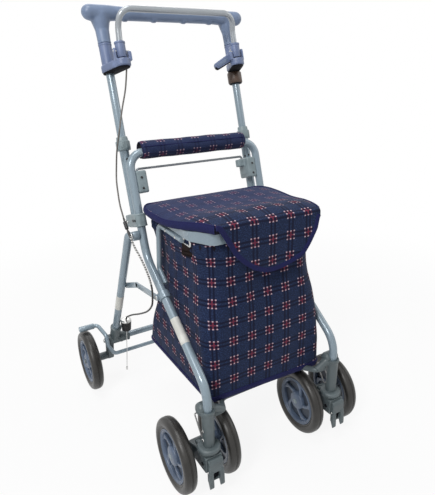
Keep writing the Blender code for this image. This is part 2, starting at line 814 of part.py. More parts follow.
def lid():
    """The padded seat lid, crowned on top and flat below, with its front flap."""
    cells = 12
    shape = bmesh.new()
    bmesh.ops.create_grid(shape, x_segments=cells, y_segments=cells, size=0.5)
    bottom = RIM_TOP + GAP
    for vertex in shape.verts:
        across, deep = 2 * vertex.co.x, vertex.co.y + 0.5
        y = LID_DEPTH[0] + deep * (LID_DEPTH[1] - LID_DEPTH[0])
        crown = (1 - across**4) * (1 - (2 * deep - 1) ** 4)
        rise = LID_EDGE - 0.0055 * deep**2
        vertex.co = (across * lid_half_width(y), y, bottom + rise + LID_CROWN * crown)
    under = bmesh.ops.extrude_face_region(shape, geom=shape.faces[:])
    for vertex in under["geom"]:
        if isinstance(vertex, bmesh.types.BMVert):
            middle = (LID_DEPTH[0] + LID_DEPTH[1]) / 2
            vertex.co = (vertex.co.x * 0.985, middle + (vertex.co.y - middle) * 0.985, bottom)
    bmesh.ops.recalc_face_normals(shape, faces=shape.faces)
    mesh = bpy.data.meshes.new("lid")
    shape.to_mesh(mesh)
    shape.free()
    mesh.shade_smooth()
    mesh.set_sharp_from_angle(angle=radians(40))
    hinge = (0, LID_DEPTH[1], bottom + LID_EDGE - 0.0055)
    mesh.transform(Matrix.Translation(hinge).inverted())
    pad = place(bpy.data.objects.new("lid", mesh), Matrix.Translation(hinge), PLAID)
    edge = bottom + LID_EDGE - 0.002
    half = lid_half_width(LID_DEPTH[0])
    drop = [
        (-half, edge),
        (-half + 0.002, 0.438),
        (-0.067, 0.4135),
        (-0.031, 0.3845),
        (0, 0.374),
        (0.034, 0.3755),
        (0.064, 0.388),
        (0.088, 0.415),
        (half - 0.002, 0.438),
        (half, edge),
    ]
    front = LID_DEPTH[0]
    flap = plate("lid_flap", drop, (-0.0012, FLAP_THICKNESS - 0.0012), front_matrix(front))
    return join(pad, flap)


def roll_centre():
    loop = lean(0, LOOP_ALONG)
    return Vector((0, loop.y + ROLL_OFFSET[0], loop.z + ROLL_OFFSET[1]))


def backrest_roll():
    """The padded roll over the loop's top run."""
    half = ROLL_HALF_LENGTH
    centre = roll_centre()
    profile = [
        (0, half),
        (ROLL_RADIUS - 0.002, half),
        (ROLL_RADIUS, half - 0.003),
        (ROLL_RADIUS, -half + 0.003),
        (ROLL_RADIUS - 0.002, -half),
        (0, -half),
    ]
    roll = turned("backrest_roll", profile, along_axis(centre, (1, 0, 0)), PLAID)
    loop = lean(0, LOOP_ALONG)
    reach = half + 0.01
    bore = rod("roll_bore", (-reach, loop.y, loop.z), (reach, loop.y, loop.z), fit_bore(FRAME_TUBE) + GAP)
    return cut(roll, bore)


def bag():
    """The shopping bag: an open-topped cloth shell hung from the seat rim."""
    top = RIM_TOP - RIM_THICKNESS - GAP
    half = RIM_HALF_WIDTH - BAG_INSET
    levels = (
        (0.0, -0.2385, 0.020, half),
        (0.22, -0.2375, -0.005, half - 0.0005),
        (0.45, -0.2365, -0.028, half - 0.002),
        (0.75, -0.236, -0.030, half - 0.0035),
        (1.0, -0.2355, -0.034, half - 0.004),
    )
    shape = bmesh.new()
    bmesh.ops.create_cube(shape, size=1)
    uprights = [edge for edge in shape.edges if abs(edge.verts[0].co.z - edge.verts[1].co.z) > 0.5]
    bmesh.ops.subdivide_edges(shape, edges=uprights, cuts=len(levels) - 2, use_grid_fill=True)
    heights = sorted({round(vertex.co.z, 4) for vertex in shape.verts})
    for vertex in shape.verts:
        share, front, rear, half = levels[heights.index(round(vertex.co.z, 4))]
        y = front if vertex.co.y < 0 else rear
        floor = BAG_FLOOR[0] if vertex.co.y < 0 else BAG_FLOOR[1]
        vertex.co = (half if vertex.co.x > 0 else -half, y, floor + (top - floor) * share)
    lids = [face for face in shape.faces if all(abs(vertex.co.z - top) < WELD for vertex in face.verts)]
    bmesh.ops.delete(shape, geom=lids, context="FACES_ONLY")
    bmesh.ops.recalc_face_normals(shape, faces=shape.faces)
    mesh = bpy.data.meshes.new("bag")
    shape.to_mesh(mesh)
    shape.free()
    obj = place(bpy.data.objects.new("bag", mesh), Matrix(), PLAID)
    rounding = obj.modifiers.new("corners", "BEVEL")
    rounding.limit_method = "ANGLE"
    rounding.angle_limit = radians(50)
    rounding.width = BAG_CORNER
    rounding.segments = 2
    wall = obj.modifiers.new("wall", "SOLIDIFY")
    wall.thickness = BAG_WALL
    wall.offset = -1
    return obj


def bag_strap(label, side):
    """The short web strap that hangs the bag from the seat bracket."""
    low, high = sorted((side * (STRAP_X - STRAP_THICKNESS), side * STRAP_X))
    return block(
        f"bag_strap_{label}",
        (low, -0.187, 0.396),
        (high, -0.173, RIM_TOP - RIM_THICKNESS - GAP),
        Matrix(),
        BROWN,
    )


def brake_housing(label, side):
    """The casting under the grip: an oval band, a barrel round the post and two ears for the bar."""
    post = (POST_X, POST_ACROSS)
    knuckle = (BAR_X, BAR_ACROSS)
    outline = mirrored(disc_hull(post, 0.0135, knuckle, 0.0135), side)
    housing = plate(f"brake_housing_{label}", outline, BAND_SPAN, lean_matrix(0, 0), HOUSING_BLUE)
    barrel = rod(
        f"housing_barrel_{label}",
        lean(side * POST_X, BAND_SPAN[1] - 0.004, POST_ACROSS),
        lean(side * POST_X, BARREL_TOP, POST_ACROSS),
        0.011,
    )
    pieces = [barrel]
    inner = BAR_X - BAR_BARREL - EAR_CLEARANCE
    outer = BAR_X + BAR_BARREL + EAR_CLEARANCE
    ears = (("inner", inner - EAR_THICKNESS, inner), ("outer", outer, outer + EAR_THICKNESS))
    for name, near, far in ears:
        low, high = sorted((side * near, side * far))
        pieces.append(
            block(
                f"housing_ear_{name}_{label}",
                (low, BAR_ACROSS - 0.0055, BAND_SPAN[1] - 0.003),
                (high, BAR_ACROSS + 0.0055, BAR_ALONG + 0.005),
                lean_matrix(0, 0),
            )
        )
    cutters = [
        rod(
            f"housing_post_bore_{label}",
            lean(side * POST_X, BAND_SPAN[0] - 0.01, POST_ACROSS),
            lean(side * POST_X, BARREL_TOP + 0.01, POST_ACROSS),
            fit_bore(UPPER_TUBE),
        ),
        rod(
            f"housing_pin_bore_{label}",
            lean(side * (BAR_X - 0.02), BAR_ALONG, BAR_ACROSS),
            lean(side * (BAR_X + 0.02), BAR_ALONG, BAR_ACROSS),
            fit_bore(BAR_PIN, 8),
            steps=8,
        ),
    ]
    if label == "right":
        half = LEVER_THICKNESS / 2 + GAP
        cutters.append(
            block(
                "housing_lever_slot",
                (LEVER_X - 0.03, LEVER_ACROSS - half, BAND_SPAN[0] - 0.01),
                (LEVER_X + 0.006, LEVER_ACROSS + half, BAND_SPAN[1] + 0.0005),
                lean_matrix(0, 0),
            )
        )
        cutters.append(
            rod(
                "housing_lever_pin_bore",
                lean(LEVER_X, LEVER_ALONG, LEVER_ACROSS - 0.03),
                lean(LEVER_X, LEVER_ALONG, LEVER_ACROSS + 0.03),
                fit_bore(LEVER_PIN, 8),
                steps=8,
            )
        )
    return cut(join(housing, *pieces), *cutters)


def brake_bar():
    """The brake loop in front of the grip, with a barrel, a knuckle and a pin at each end."""
    half = [
        lean(BAR_X, BAR_ALONG + 0.006, BAR_ACROSS),
        lean(*BAR_SHOULDER, BAR_ACROSS - 0.0028),
        BAR_TOP,
    ]
    path = [Vector((-point[0], point[1], point[2])) for point in half] + [Vector(p) for p in half[::-1]]
    origin = lean(0, BAR_ALONG, BAR_ACROSS)
    bends = [0, 0.03, 0.022, 0.022, 0.03, 0]
    bar = tube("brake_bar", filleted(path, bends), BAR_TUBE, SILVER, origin=origin, sides=10)
    pieces = []
    for label, side in SIDES.items():
        hub = lean(side * BAR_X, BAR_ALONG, BAR_ACROSS)
        top = lean(side * BAR_X, BAR_BARREL_TOP, BAR_ACROSS - 0.0004)
        pieces.append(rod(f"bar_barrel_{label}", hub, top, BAR_BARREL))
        across = Vector((BAR_BARREL, 0, 0))
        pieces.append(rod(f"bar_knuckle_{label}", hub - across, hub + across, BAR_BARREL))
        reach = Vector((BAR_BARREL + EAR_CLEARANCE + EAR_THICKNESS + 0.0005, 0, 0))
        pieces.append(rod(f"bar_pin_{label}", hub - reach, hub + reach, BAR_PIN, steps=8))
    return join(bar, *pieces)


def parking_lever():
    """The small paddle on the right housing that locks the brake on."""
    pivot = (LEVER_X, LEVER_ALONG)
    outline = disc_hull((0, 0), 0.0052, LEVER_TIP, 0.0042)
    turn = Matrix(((1, 0, 0), (0, 0, 1), (0, -1, 0))).to_4x4().inverted()
    matrix = lean_matrix(pivot[0], pivot[1], LEVER_ACROSS) @ turn
    half = LEVER_THICKNESS / 2
    lever = plate("parking_lever", outline, (-half, half), matrix, HOUSING_BLUE)
    pin = rod(
        "lever_pin",
        lean(LEVER_X, LEVER_ALONG, LEVER_ACROSS - half - 0.003),
        lean(LEVER_X, LEVER_ALONG, LEVER_ACROSS + half + 0.003),
        LEVER_PIN,
        steps=8,
    )
    return join(lever, pin)


def handle_grip():
    """The moulded grip with its two stems."""
    y, z = GRIP_CENTRE
    path, widths = [], []
    for angle in (18, 50, 90):
        reach = GRIP_HALF_LENGTH - GRIP_RADIUS * (1 - cos(radians(angle)))
        path.append((-reach, y, z))
        widths.append(sin(radians(angle)))
    path += mirrored(path[::-1], -1)
    widths += widths[::-1]
    grip = tube("handle_grip", path, GRIP_RADIUS, GRIP_BLUE, widths=widths)
    stems, bores = [], []
    for label, side in SIDES.items():
        x = side * POST_X
        foot = lean(x, BARREL_TOP + GAP, POST_ACROSS)
        head = lean(x, STEM_END, POST_ACROSS)
        stems.append(rod(f"grip_stem_{label}", foot, head, STEM_FOOT_RADIUS, end_radius=STEM_HEAD_RADIUS))
        bores.append(
            rod(
                f"grip_bore_{label}",
                lean(x, BARREL_TOP - 0.01, POST_ACROSS),
                lean(x, UPPER_TOP + 0.0005, POST_ACROSS),
                fit_bore(UPPER_TUBE),
            )
        )
    return cut(join(grip, *stems), *bores)


def rubber_collar():
    """The brown rubber ring under the right brake housing."""
    height = RUBBER_SPAN[1] - RUBBER_SPAN[0]
    bore = fit_bore(UPPER_TUBE)
    profile = [
        (bore, height),
        (0.0135, height),
        (0.0143, height - 0.0015),
        (0.0143, 0.0015),
        (0.0135, 0),
        (bore, 0),
    ]
    matrix = along_axis(lean(POST_X, RUBBER_SPAN[0], POST_ACROSS), UP)
    return turned("rubber_collar", profile, matrix, BROWN, closed=True)


def leg_axis(side):
    hip = Vector((side * LEG_HIP[0], *LEG_HIP[1:]))
    joint = Vector((side * JOINT_CENTRE[0], *JOINT_CENTRE[1:]))
    return hip, joint, (hip - joint).normalized()


def rear_leg(label, side):
    """The rear leg tube with the eye that hangs on the upright's stud."""
    hip, joint, up_leg = leg_axis(side)
    middle = side * (EYE_SPAN[0] + EYE_SPAN[1]) / 2
    corners = [(middle, PIVOT[0] + 0.003, PIVOT[1]), hip, joint + up_leg * LEG_END]
    origin = (middle, *PIVOT)
    leg = tube(f"rear_leg_{label}", filleted(corners, LEG_BEND), LEG_TUBE, STEEL, origin=origin)
    eye = rod(
        f"leg_eye_{label}", (side * EYE_SPAN[0], *PIVOT), (side * EYE_SPAN[1], *PIVOT), EYE_RADIUS
    )
    inside, outside = EYE_SPAN[0] - 0.01, EYE_SPAN[1] + 0.02
    bore = rod(
        f"leg_eye_bore_{label}", (side * inside, *PIVOT), (side * outside, *PIVOT), fit_bore(STUD_RADIUS)
    )
    face = STAY_SPAN[0] - GAP
    stay_stud = rod(
        f"stay_stud_{label}",
        (side * face, *STAY_PIVOT),
        (side * (LEG_HIP[0] + 0.003), *STAY_PIVOT),
        STUD_RADIUS,
    )
    stay_head = rod(
        f"stay_head_{label}",
        (side * (face - STAY_HEAD_HEIGHT), *STAY_PIVOT),
        (side * face, *STAY_PIVOT),
        STAY_HEAD,
    )
    trim_inner = block(
        f"leg_trim_inner_{label}",
        (min(side * inside, side * EYE_SPAN[0]), PIVOT[0] - 0.02, PIVOT[1] - 0.02),
        (max(side * inside, side * EYE_SPAN[0]), PIVOT[0] + 0.02, PIVOT[1] + 0.02),
        Matrix(),
    )
    trim_outer = block(
        f"leg_trim_outer_{label}",
        (min(side * EYE_SPAN[1], side * outside), PIVOT[0] - 0.02, PIVOT[1] - 0.02),
        (max(side * EYE_SPAN[1], side * outside), PIVOT[0] + EYE_RADIUS, PIVOT[1] + 0.02),
        Matrix(),
    )
    return cut(join(leg, eye, stay_stud, stay_head), bore, trim_inner, trim_outer)


def rear_cross_tube():
    y, z = JOINT_CENTRE[1:]
    return rod("rear_cross_tube", (-CROSS_HALF, y, z), (CROSS_HALF, y, z), CROSS_TUBE, STEEL)


def rear_joint(label, side):
    """The casting that joins the rear leg, the cross tube and the rear wheel's stub axle."""
    _, centre, up_leg = leg_axis(side)
    y, z = centre.y, centre.z
    casting = rod(
        f"rear_joint_{label}",
        (side * BARREL_SPAN[0], y, z),
        (side * BARREL_SPAN[1], y, z),
        BARREL_RADIUS,
        GREEN_GREY,
    )
    sleeve = rod(f"joint_sleeve_{label}", centre, centre + up_leg * SLEEVE_LENGTH, SLEEVE_RADIUS)
    arm = plate(
        f"joint_arm_{label}",
        disc_hull((y, z), BARREL_RADIUS - 0.0003, (REAR_AXLE_Y, AXLE_Z), ARM_FOOT_RADIUS),
        ARM_SPAN,
        side_matrix(0) if side > 0 else Matrix.Scale(-1, 4, (1, 0, 0)) @ side_matrix(0),
    )
    hub_face = REAR_WHEEL_X - HUB_HALF_WIDTH
    axle = (REAR_AXLE_Y, AXLE_Z)
    foot = side * (ARM_SPAN[1] - 0.001)
    spacer = rod(
        f"joint_spacer_{label}", (foot, *axle), (side * (hub_face - GAP), *axle), SPACER_RADIUS
    )
    stub_end = REAR_WHEEL_X + TYRE_HALF_WIDTH
    stub = rod(f"joint_stub_{label}", (foot, *axle), (side * stub_end, *axle), STUB_RADIUS)
    low, high = BARREL_SPAN[1] - 0.001, BARREL_SPAN[1] + 0.0085
    pin = rod(f"joint_pin_{label}", (side * low, y, z), (side * high, y, z), BRAKE_PIN)
    low, high = BARREL_SPAN[0] - 0.008, CROSS_HALF + 0.0005
    tube_bore = rod(
        f"joint_tube_bore_{label}", (side * low, y, z), (side * high, y, z), fit_bore(CROSS_TUBE)
    )
    leg_bore = rod(
        f"joint_leg_bore_{label}",
        centre + up_leg * (LEG_END - GAP),
        centre + up_leg * (SLEEVE_LENGTH + 0.01),
        fit_bore(LEG_TUBE),
    )
    return cut(join(casting, sleeve, arm, spacer, stub, pin), tube_bore, leg_bore)


def stay_end():
    return leg_point(SLIDE_DISTANCE)


def side_stay(label, side):
    """The flat bent bar from the rear leg to the sleeve on the front leg."""
    end = stay_end()
    points = [Vector(STAY_PIVOT), Vector(STAY_KNEE), Vector((end.y, end.z))]
    parts = []
    for index in (0, 1):
        outline = disc_hull(points[index], STAY_HALF_WIDTH, points[index + 1], STAY_HALF_WIDTH)
        outline = moved(outline, STAY_PIVOT)
        low, high = sorted((side * STAY_SPAN[0], side * STAY_SPAN[1]))
        name = f"side_stay_{label}" if index == 0 else f"stay_front_{label}"
        finish = STEEL if index == 0 else None
        parts.append(plate(name, outline, (low, high), side_matrix(0, STAY_PIVOT), finish))
    low, high = STAY_SPAN[0] - 0.008, STAY_SPAN[1] + 0.009
    hole = rod(
        f"stay_hole_{label}", (side * low, *STAY_PIVOT), (side * high, *STAY_PIVOT), fit_bore(STUD_RADIUS)
    )
    return cut(join(*parts), hole)


def stay_sleeve(label, side):
    """The sleeve that slides on the front leg as the frame folds."""
    end = stay_end()
    centre = Vector((side * FRAME_X, end.y, end.z))
    half = DOWN_LEG * (SLIDE_LENGTH / 2)
    sleeve = rod(f"stay_sleeve_{label}", centre - half, centre + half, SLIDE_RADIUS, GREEN_GREY)
    boss = rod(
        f"sleeve_boss_{label}",
        (side * (FRAME_X + FRAME_TUBE - 0.0025), end.y, end.z),
        (side * (STAY_SPAN[0] - GAP), end.y, end.z),
        0.0055,
    )
    bore = rod(f"sleeve_bore_{label}", centre - half * 2, centre + half * 2, fit_bore(FRAME_TUBE))
    return cut(join(sleeve, boss), bore)


def brake_rod():
    """The bent rod that presses a shoe on each rear tyre, hung from the joint castings' pins."""
    axis = JOINT_CENTRE[1:]
    half = [
        (SHOE_SPAN[1] - 0.0002, *SHOE_CENTRE),
        (ROD_ARM_X + 0.008, *SHOE_CENTRE),
        (ROD_ARM_X, *ROD_ARM[0]),
        (ROD_ARM_X, *ROD_ARM[1]),
        ROD_CROSS,
    ]
    path = [Vector((-point[0], point[1], point[2])) for point in half] + [Vector(p) for p in half[::-1]]
    bends = [0, 0.009, 0.012, 0.012, 0.012, 0.012, 0.012, 0.012, 0.009, 0]
    shaped = tube("brake_rod", filleted(path, bends), BRAKE_ROD, STEEL, origin=(0, *axis), sides=8)
    pieces, bores = [], []
    for label, side in SIDES.items():
        pieces.append(
            rod(
                f"brake_shoe_{label}",
                (side * SHOE_SPAN[0], *SHOE_CENTRE),
                (side * SHOE_SPAN[1], *SHOE_CENTRE),
                SHOE_RADIUS,
            )
        )
        low, high = sorted((side * ROD_EYE_SPAN[0], side * ROD_EYE_SPAN[1]))
        outline = disc_hull(axis, 0.006, (0.1012, 0.1055), 0.0038)
        pieces.append(plate(f"brake_eye_{label}", outline, (low, high), side_matrix(0)))
        bores.append(
            rod(
                f"brake_eye_bore_{label}",
                (side * (ROD_EYE_SPAN[0] - 0.009), *axis),
                (side * (ROD_EYE_SPAN[1] + 0.008), *axis),
                fit_bore(BRAKE_PIN),
            )
        )
    return cut(join(shaped, *pieces), *bores)


def cable_adjuster():
    """The barrel adjuster on its tab by the left rear leg, with the bare wire and its crimp below."""
    body = rod("cable_adjuster", ADJUSTER_FOOT, ADJUSTER_TOP, ADJUSTER_RADIUS, BLACK)
    tab = block("adjuster_tab", (-0.1493, 0.084, 0.1565), (-0.138, 0.098, 0.159), Matrix())
    wire = tube(
        "adjuster_wire",
        [(-0.14, 0.0902, 0.137), (-0.1432, 0.0932, 0.078), (-0.1458, 0.0968, 0.036)],
        0.0008,
        sides=8,
    )
    crimp = rod("adjuster_crimp", (-0.1455, 0.0964, 0.0405), (-0.1461, 0.0972, 0.0315), 0.0018, steps=8)
    return join(body, tab, wire, crimp)


CABLE_ROUTE = (
    (-0.1105, 0.0357, 0.6705),
    (-0.113, 0.0371, 0.6495),
    (-0.117, 0.0351, 0.633),
    (-0.127, 0.0298, 0.6036),
    (-0.140, 0.0137, 0.5721),
    (-0.147, 0.016, 0.538),
    (-0.150, 0.018, 0.511),
    (-0.155, 0.010, 0.486),
    (-0.158, -0.001, 0.466),
    (-0.160, -0.012, 0.447),
    (-0.1615, -0.027, 0.432),
    (-0.162, -0.041, 0.416),
    (-0.162, -0.058, 0.402),
    (-0.161, -0.074, 0.387),
    (-0.157, -0.090, 0.370),
    (-0.153, -0.106, 0.346),
    (-0.1505, -0.112, 0.325),
    (-0.150, -0.111, 0.305),
    (-0.1495, -0.103, 0.285),
    (-0.148, -0.074, 0.260),
    (-0.145, -0.023, 0.230),
    (-0.142, 0.030, 0.202),
    (-0.1405, 0.061, 0.184),
    (-0.140, 0.080, 0.172),
    (-0.140, 0.0878, 0.1625),
)


def smooth_route(points, per_span):
    """Points read from the smooth curve through a route."""
    points = [Vector(point) for point in points]
    ends = [points[0] * 2 - points[1]] + points + [points[-1] * 2 - points[-2]]
    route = []
    for index in range(1, len(ends) - 2):
        before, start, end, after = ends[index - 1 : index + 3]
        for step in range(per_span):
            t = step / per_span
            route.append(
                (
                    start * 2
                    + (end - before) * t
                    + (before * 2 - start * 5 + end * 4 - after) * t**2
                    + (start * 3 - before - end * 3 + after) * t**3
                )
                / 2
            )
    route.append(points[-1])
    return route


def brake_cable():
    """The brake cable from the left housing to the adjuster on the left rear leg."""
    return tube("brake_cable", smooth_route(CABLE_ROUTE, 2), CABLE_RADIUS, BLACK, sides=6)


def build():
    front_frame_tube()
    front_crossbar()
    seat_rim()
    lid()
    bag()
    backrest_roll()
    release_rod()
    brake_bar()
    parking_lever()
    handle_grip()
    rubber_collar()
    rear_cross_tube()
    brake_rod()
    cable_adjuster()
    brake_cable()
    axle_y = CASTER_Y + CASTER_TRAIL
    for label, side in SIDES.items():
        posts(label, side)
        frame_clamp(label, side)
        lock_housing(label, side)
        caster_socket(label, side)
        lock_clip(label, side)
        caster_yoke(label, side)
        step_claw(label, side)
        seat_bracket(label, side)
        bag_strap(label, side)
        brake_housing(label, side)
        rear_leg(label, side)
        rear_joint(label, side)
        side_stay(label, side)
        stay_sleeve(label, side)
        for position, step in (("outer", 1), ("inner", -1)):
            centre = (side * (FRAME_X + step * TWIN_SPACING / 2), axle_y, AXLE_Z)
            wheel(f"front_{label}_{position}", centre, side * step, FRONT_AXLE_RADIUS)
        wheel(f"rear_{label}", (side * REAR_WHEEL_X, REAR_AXLE_Y, AXLE_Z), side, STUB_RADIUS)


def move_to_origin():
    """Parents everything to an empty so that the origin is under the middle of the footprint."""
    datum = bpy.data.objects.new("datum", None)
    PARTS.objects.link(datum)
    for obj in [*PARTS.objects, *CUTTERS.objects]:
        if obj is not datum:
            obj.parent = datum
    datum.location.y = -(CLAW_TIP_Y + REAR_AXLE_Y + AXLE_Z) / 2


for old in list(bpy.data.objects):
    bpy.data.objects.remove(old)
PARTS = collection("shopping_rollator")
CUTTERS = collection("cutters", helpers=True)
STEEL = material("silver blue paint", (0.42, 0.50, 0.54), 0.32, 0.6)
SILVER = material("anodised bar", (0.62, 0.65, 0.66), 0.3, 0.8)
CHROME = material("chrome wire", (0.55, 0.56, 0.56), 0.2, 1.0)
GREEN_GREY = material("grey green plastic", (0.10, 0.135, 0.125), 0.45)
HOUSING_BLUE = material("blue grey plastic", (0.085, 0.105, 0.19), 0.42)
GRIP_BLUE = material("grip plastic", (0.17, 0.20, 0.30), 0.48)
HUB_BLUE = material("hub plastic", (0.16, 0.21, 0.32), 0.4)
RUBBER = material("tyre rubber", (0.07, 0.062, 0.052), 0.6)
BROWN = material("brown rubber", (0.10, 0.062, 0.045), 0.6)
BLACK = material("black plastic", (0.012, 0.012, 0.013), 0.4)
PLAID = material("navy plaid cloth", (0.022, 0.03, 0.10), 0.85)
build()
move_to_origin()
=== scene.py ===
"""Looks for the shopping rollator, laid out as an add-on and run as a script.

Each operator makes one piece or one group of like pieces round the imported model.
Points are written in the model's own drafting datum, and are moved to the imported
frame as each piece is finished.
"""

import json
from math import atan2, ceil, cos, pi, radians, sin, tan

import bmesh
import bpy
from mathutils import Matrix, Vector, noise


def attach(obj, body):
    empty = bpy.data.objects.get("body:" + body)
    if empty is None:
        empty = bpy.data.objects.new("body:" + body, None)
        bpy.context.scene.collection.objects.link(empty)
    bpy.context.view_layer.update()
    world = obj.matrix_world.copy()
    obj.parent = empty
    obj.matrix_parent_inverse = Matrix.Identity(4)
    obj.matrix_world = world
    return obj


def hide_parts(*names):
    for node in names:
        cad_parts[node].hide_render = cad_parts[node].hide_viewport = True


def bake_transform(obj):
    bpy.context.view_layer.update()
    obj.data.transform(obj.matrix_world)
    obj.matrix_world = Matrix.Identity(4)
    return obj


bl_info = {
    "name": "Shopping Rollator",
    "version": (1, 0, 0),
    "blender": (4, 5, 0),
    "location": "3D View > Sidebar > Rollator",
    "description": "Makes the visible pieces of a folding shopping rollator",
    "category": "Add Mesh",
}

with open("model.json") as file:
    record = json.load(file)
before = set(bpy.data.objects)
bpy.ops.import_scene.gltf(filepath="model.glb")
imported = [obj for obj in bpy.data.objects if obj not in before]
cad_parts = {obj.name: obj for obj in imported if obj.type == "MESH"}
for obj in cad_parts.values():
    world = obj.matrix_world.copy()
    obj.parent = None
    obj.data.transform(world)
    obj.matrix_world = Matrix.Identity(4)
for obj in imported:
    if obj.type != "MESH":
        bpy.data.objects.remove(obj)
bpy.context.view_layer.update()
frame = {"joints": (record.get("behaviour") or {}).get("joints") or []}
JOINTS = {joint["name"]: joint for joint in frame["joints"]}

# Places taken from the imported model, and the datum they are drafted in
PIVOT = (-0.0361, 0.393)
DATUM = Vector((0, JOINTS["rear_fold"]["pos_m"][1] - PIVOT[0], 0))
LEAN = radians(16.5)
LEG_SLOPE = radians(34.1)
KNEE_DROP, KNEE_ALONG = 0.0398, 0.0402
FRAME_X, FRAME_TUBE = 0.1315, 0.0075
TAPE_RADIUS = FRAME_TUBE + 0.0002
POST_X, POST_ACROSS = 0.128, 0.029
POST_TUBE, UPPER_TUBE, POST_BORE = 0.0085, 0.0074, 0.00775
COLLAR_ALONG, LOOP_ALONG = 0.1535, 0.1445
CASTER_Y, AXLE_Z = -0.2677, 0.064444
CASTER_AXLE = (CASTER_Y + 0.0423, AXLE_Z)
REAR_AXLE = (0.1283, AXLE_Z)
REAR_WHEEL_X, FRONT_WHEEL_STEP = 0.2157, 0.0412
GRIP_CENTRE = (0.099, 0.762)
BAR_X, BAR_ACROSS = 0.1148, -0.0095
HOUSING_TOP, GRIP_FOOT = 0.3402, 0.3405
LEVER_X, LEVER_ALONG = 0.105, 0.2985
RIM_TOP = 0.4368
JOINT_CENTRE = Vector((0.16, 0.12, 0.106))
LEG_HIP = Vector((0.1495, -0.012, 0.388))
STAY_PIVOT, STAY_KNEE, STAY_FRONT = (0.0469, 0.262), (-0.02, 0.29), (-0.1182, 0.3057)
STAY_INSIDE = 0.1429
SHOE_SPINDLE = (0.143, 0.1365)
UP = Vector((0, sin(LEAN), cos(LEAN)))
BACK = Vector((0, cos(LEAN), -sin(LEAN)))
DOWN_LEG = Vector((0, -cos(LEG_SLOPE), -sin(LEG_SLOPE)))
SIDES = {"left": -1, "right": 1}
ARC_STEP = radians(6)
WELD = 0.000002

# The photograph's view
CAMERA_PLACE = Vector((-0.4164, -0.8325, 0.6928))
CAMERA_TURN = (-32.7737, 21.029, 0.0988)
FOCAL_PIXELS, IMAGE_HEIGHT, IMAGE_WIDTH = 489.09, 495, 435
VIEW_CENTRE = (249.6, 243.56)


class RollatorCloth(bpy.types.PropertyGroup):
    pitch: bpy.props.FloatProperty(
        name="Check pitch",
        description="Distance from one pair of stripes to the next",
        default=0.0345,
        min=0.01,
        max=0.1,
        subtype="DISTANCE",
        unit="LENGTH",
    )
    ground: bpy.props.FloatVectorProperty(
        name="Ground", description="Colour between the stripes", subtype="COLOR", default=(0.0115, 0.0205, 0.056)
    )
    stripe: bpy.props.FloatVectorProperty(
        name="Stripe", description="Colour of the dark stripes", subtype="COLOR", default=(0.004, 0.005, 0.022)
    )
    star: bpy.props.FloatVectorProperty(
        name="Star", description="Red of the woven stars", subtype="COLOR", default=(0.27, 0.035, 0.06)
    )
    fleck: bpy.props.FloatVectorProperty(
        name="Fleck", description="Pale dots of the woven stars", subtype="COLOR", default=(0.66, 0.5, 0.56)
    )
    binding: bpy.props.FloatVectorProperty(
        name="Binding", description="Colour of the edge binding", subtype="COLOR", default=(0.015, 0.0175, 0.08)
    )


class RollatorFinish(bpy.types.PropertyGroup):
    paint: bpy.props.FloatVectorProperty(
        name="Frame paint", description="Silver blue paint of the tubes", subtype="COLOR", default=(0.285, 0.365, 0.425)
    )
    fitting: bpy.props.FloatVectorProperty(
        name="Fittings", description="Grey green moulded fittings", subtype="COLOR", default=(0.235, 0.295, 0.315)
    )
    housing: bpy.props.FloatVectorProperty(
        name="Brake housings", description="Blue grey moulded housings", subtype="COLOR", default=(0.155, 0.2, 0.335)
    )
    grip: bpy.props.FloatVectorProperty(
        name="Grip", description="Moulded grip", subtype="COLOR", default=(0.185, 0.245, 0.37)
    )
    hub: bpy.props.FloatVectorProperty(
        name="Hubs", description="Moulded wheel hubs", subtype="COLOR", default=(0.1, 0.135, 0.2)
    )
    tyre: bpy.props.FloatVectorProperty(
        name="Tyres", description="Rubber of the tyres", subtype="COLOR", default=(0.021, 0.0195, 0.0175)
    )


class RollatorSizes(bpy.types.PropertyGroup):
    spokes: bpy.props.IntProperty(name="Spokes", description="Curved spokes in each hub", default=5, min=3, max=9)
    stitch: bpy.props.FloatProperty(
        name="Stitch length",
        description="Length of one stitch on the bindings",
        default=0.0028,
        min=0.001,
        max=0.01,
        subtype="DISTANCE",
        unit="LENGTH",
    )
    lamp_power: bpy.props.FloatProperty(
        name="Lamp power",
        description="Power that each lamp has a share of",
        default=13.0,
        min=0,
        subtype="POWER",
        unit="POWER",
    )


# Placing and paths


def lean(x, along, across=0.0):
    """A point by its distance up the lean from the rear pivot and behind the upright."""
    return Vector((x, *PIVOT)) + UP * along + BACK * across


def lean_matrix(x=0.0, along=0.0, across=0.0):
    columns = Matrix((Vector((1, 0, 0)), BACK, UP)).transposed().to_4x4()
    return Matrix.Translation(lean(x, along, across)) @ columns


def side_matrix(x=0.0, side=1):
    """For plates seen from the side: local X is world Y, local Y is world Z, local Z goes outwards."""
    columns = Matrix(((0, 0, side), (1, 0, 0), (0, 1, 0))).to_4x4()
    return Matrix.Translation((x, 0, 0)) @ columns


def aimed(start, direction):
    turn = Vector(direction).to_track_quat("Z", "Y").to_matrix().to_4x4()
    return Matrix.Translation(start) @ turn


def knee():
    """Where the upright's line meets the front leg's."""
    y, z = PIVOT
    return Vector((FRAME_X, y - KNEE_ALONG * tan(LEAN), z - KNEE_DROP))


def leg_point(distance, x=FRAME_X):
    point = knee() + DOWN_LEG * distance
    point.x = x
    return point


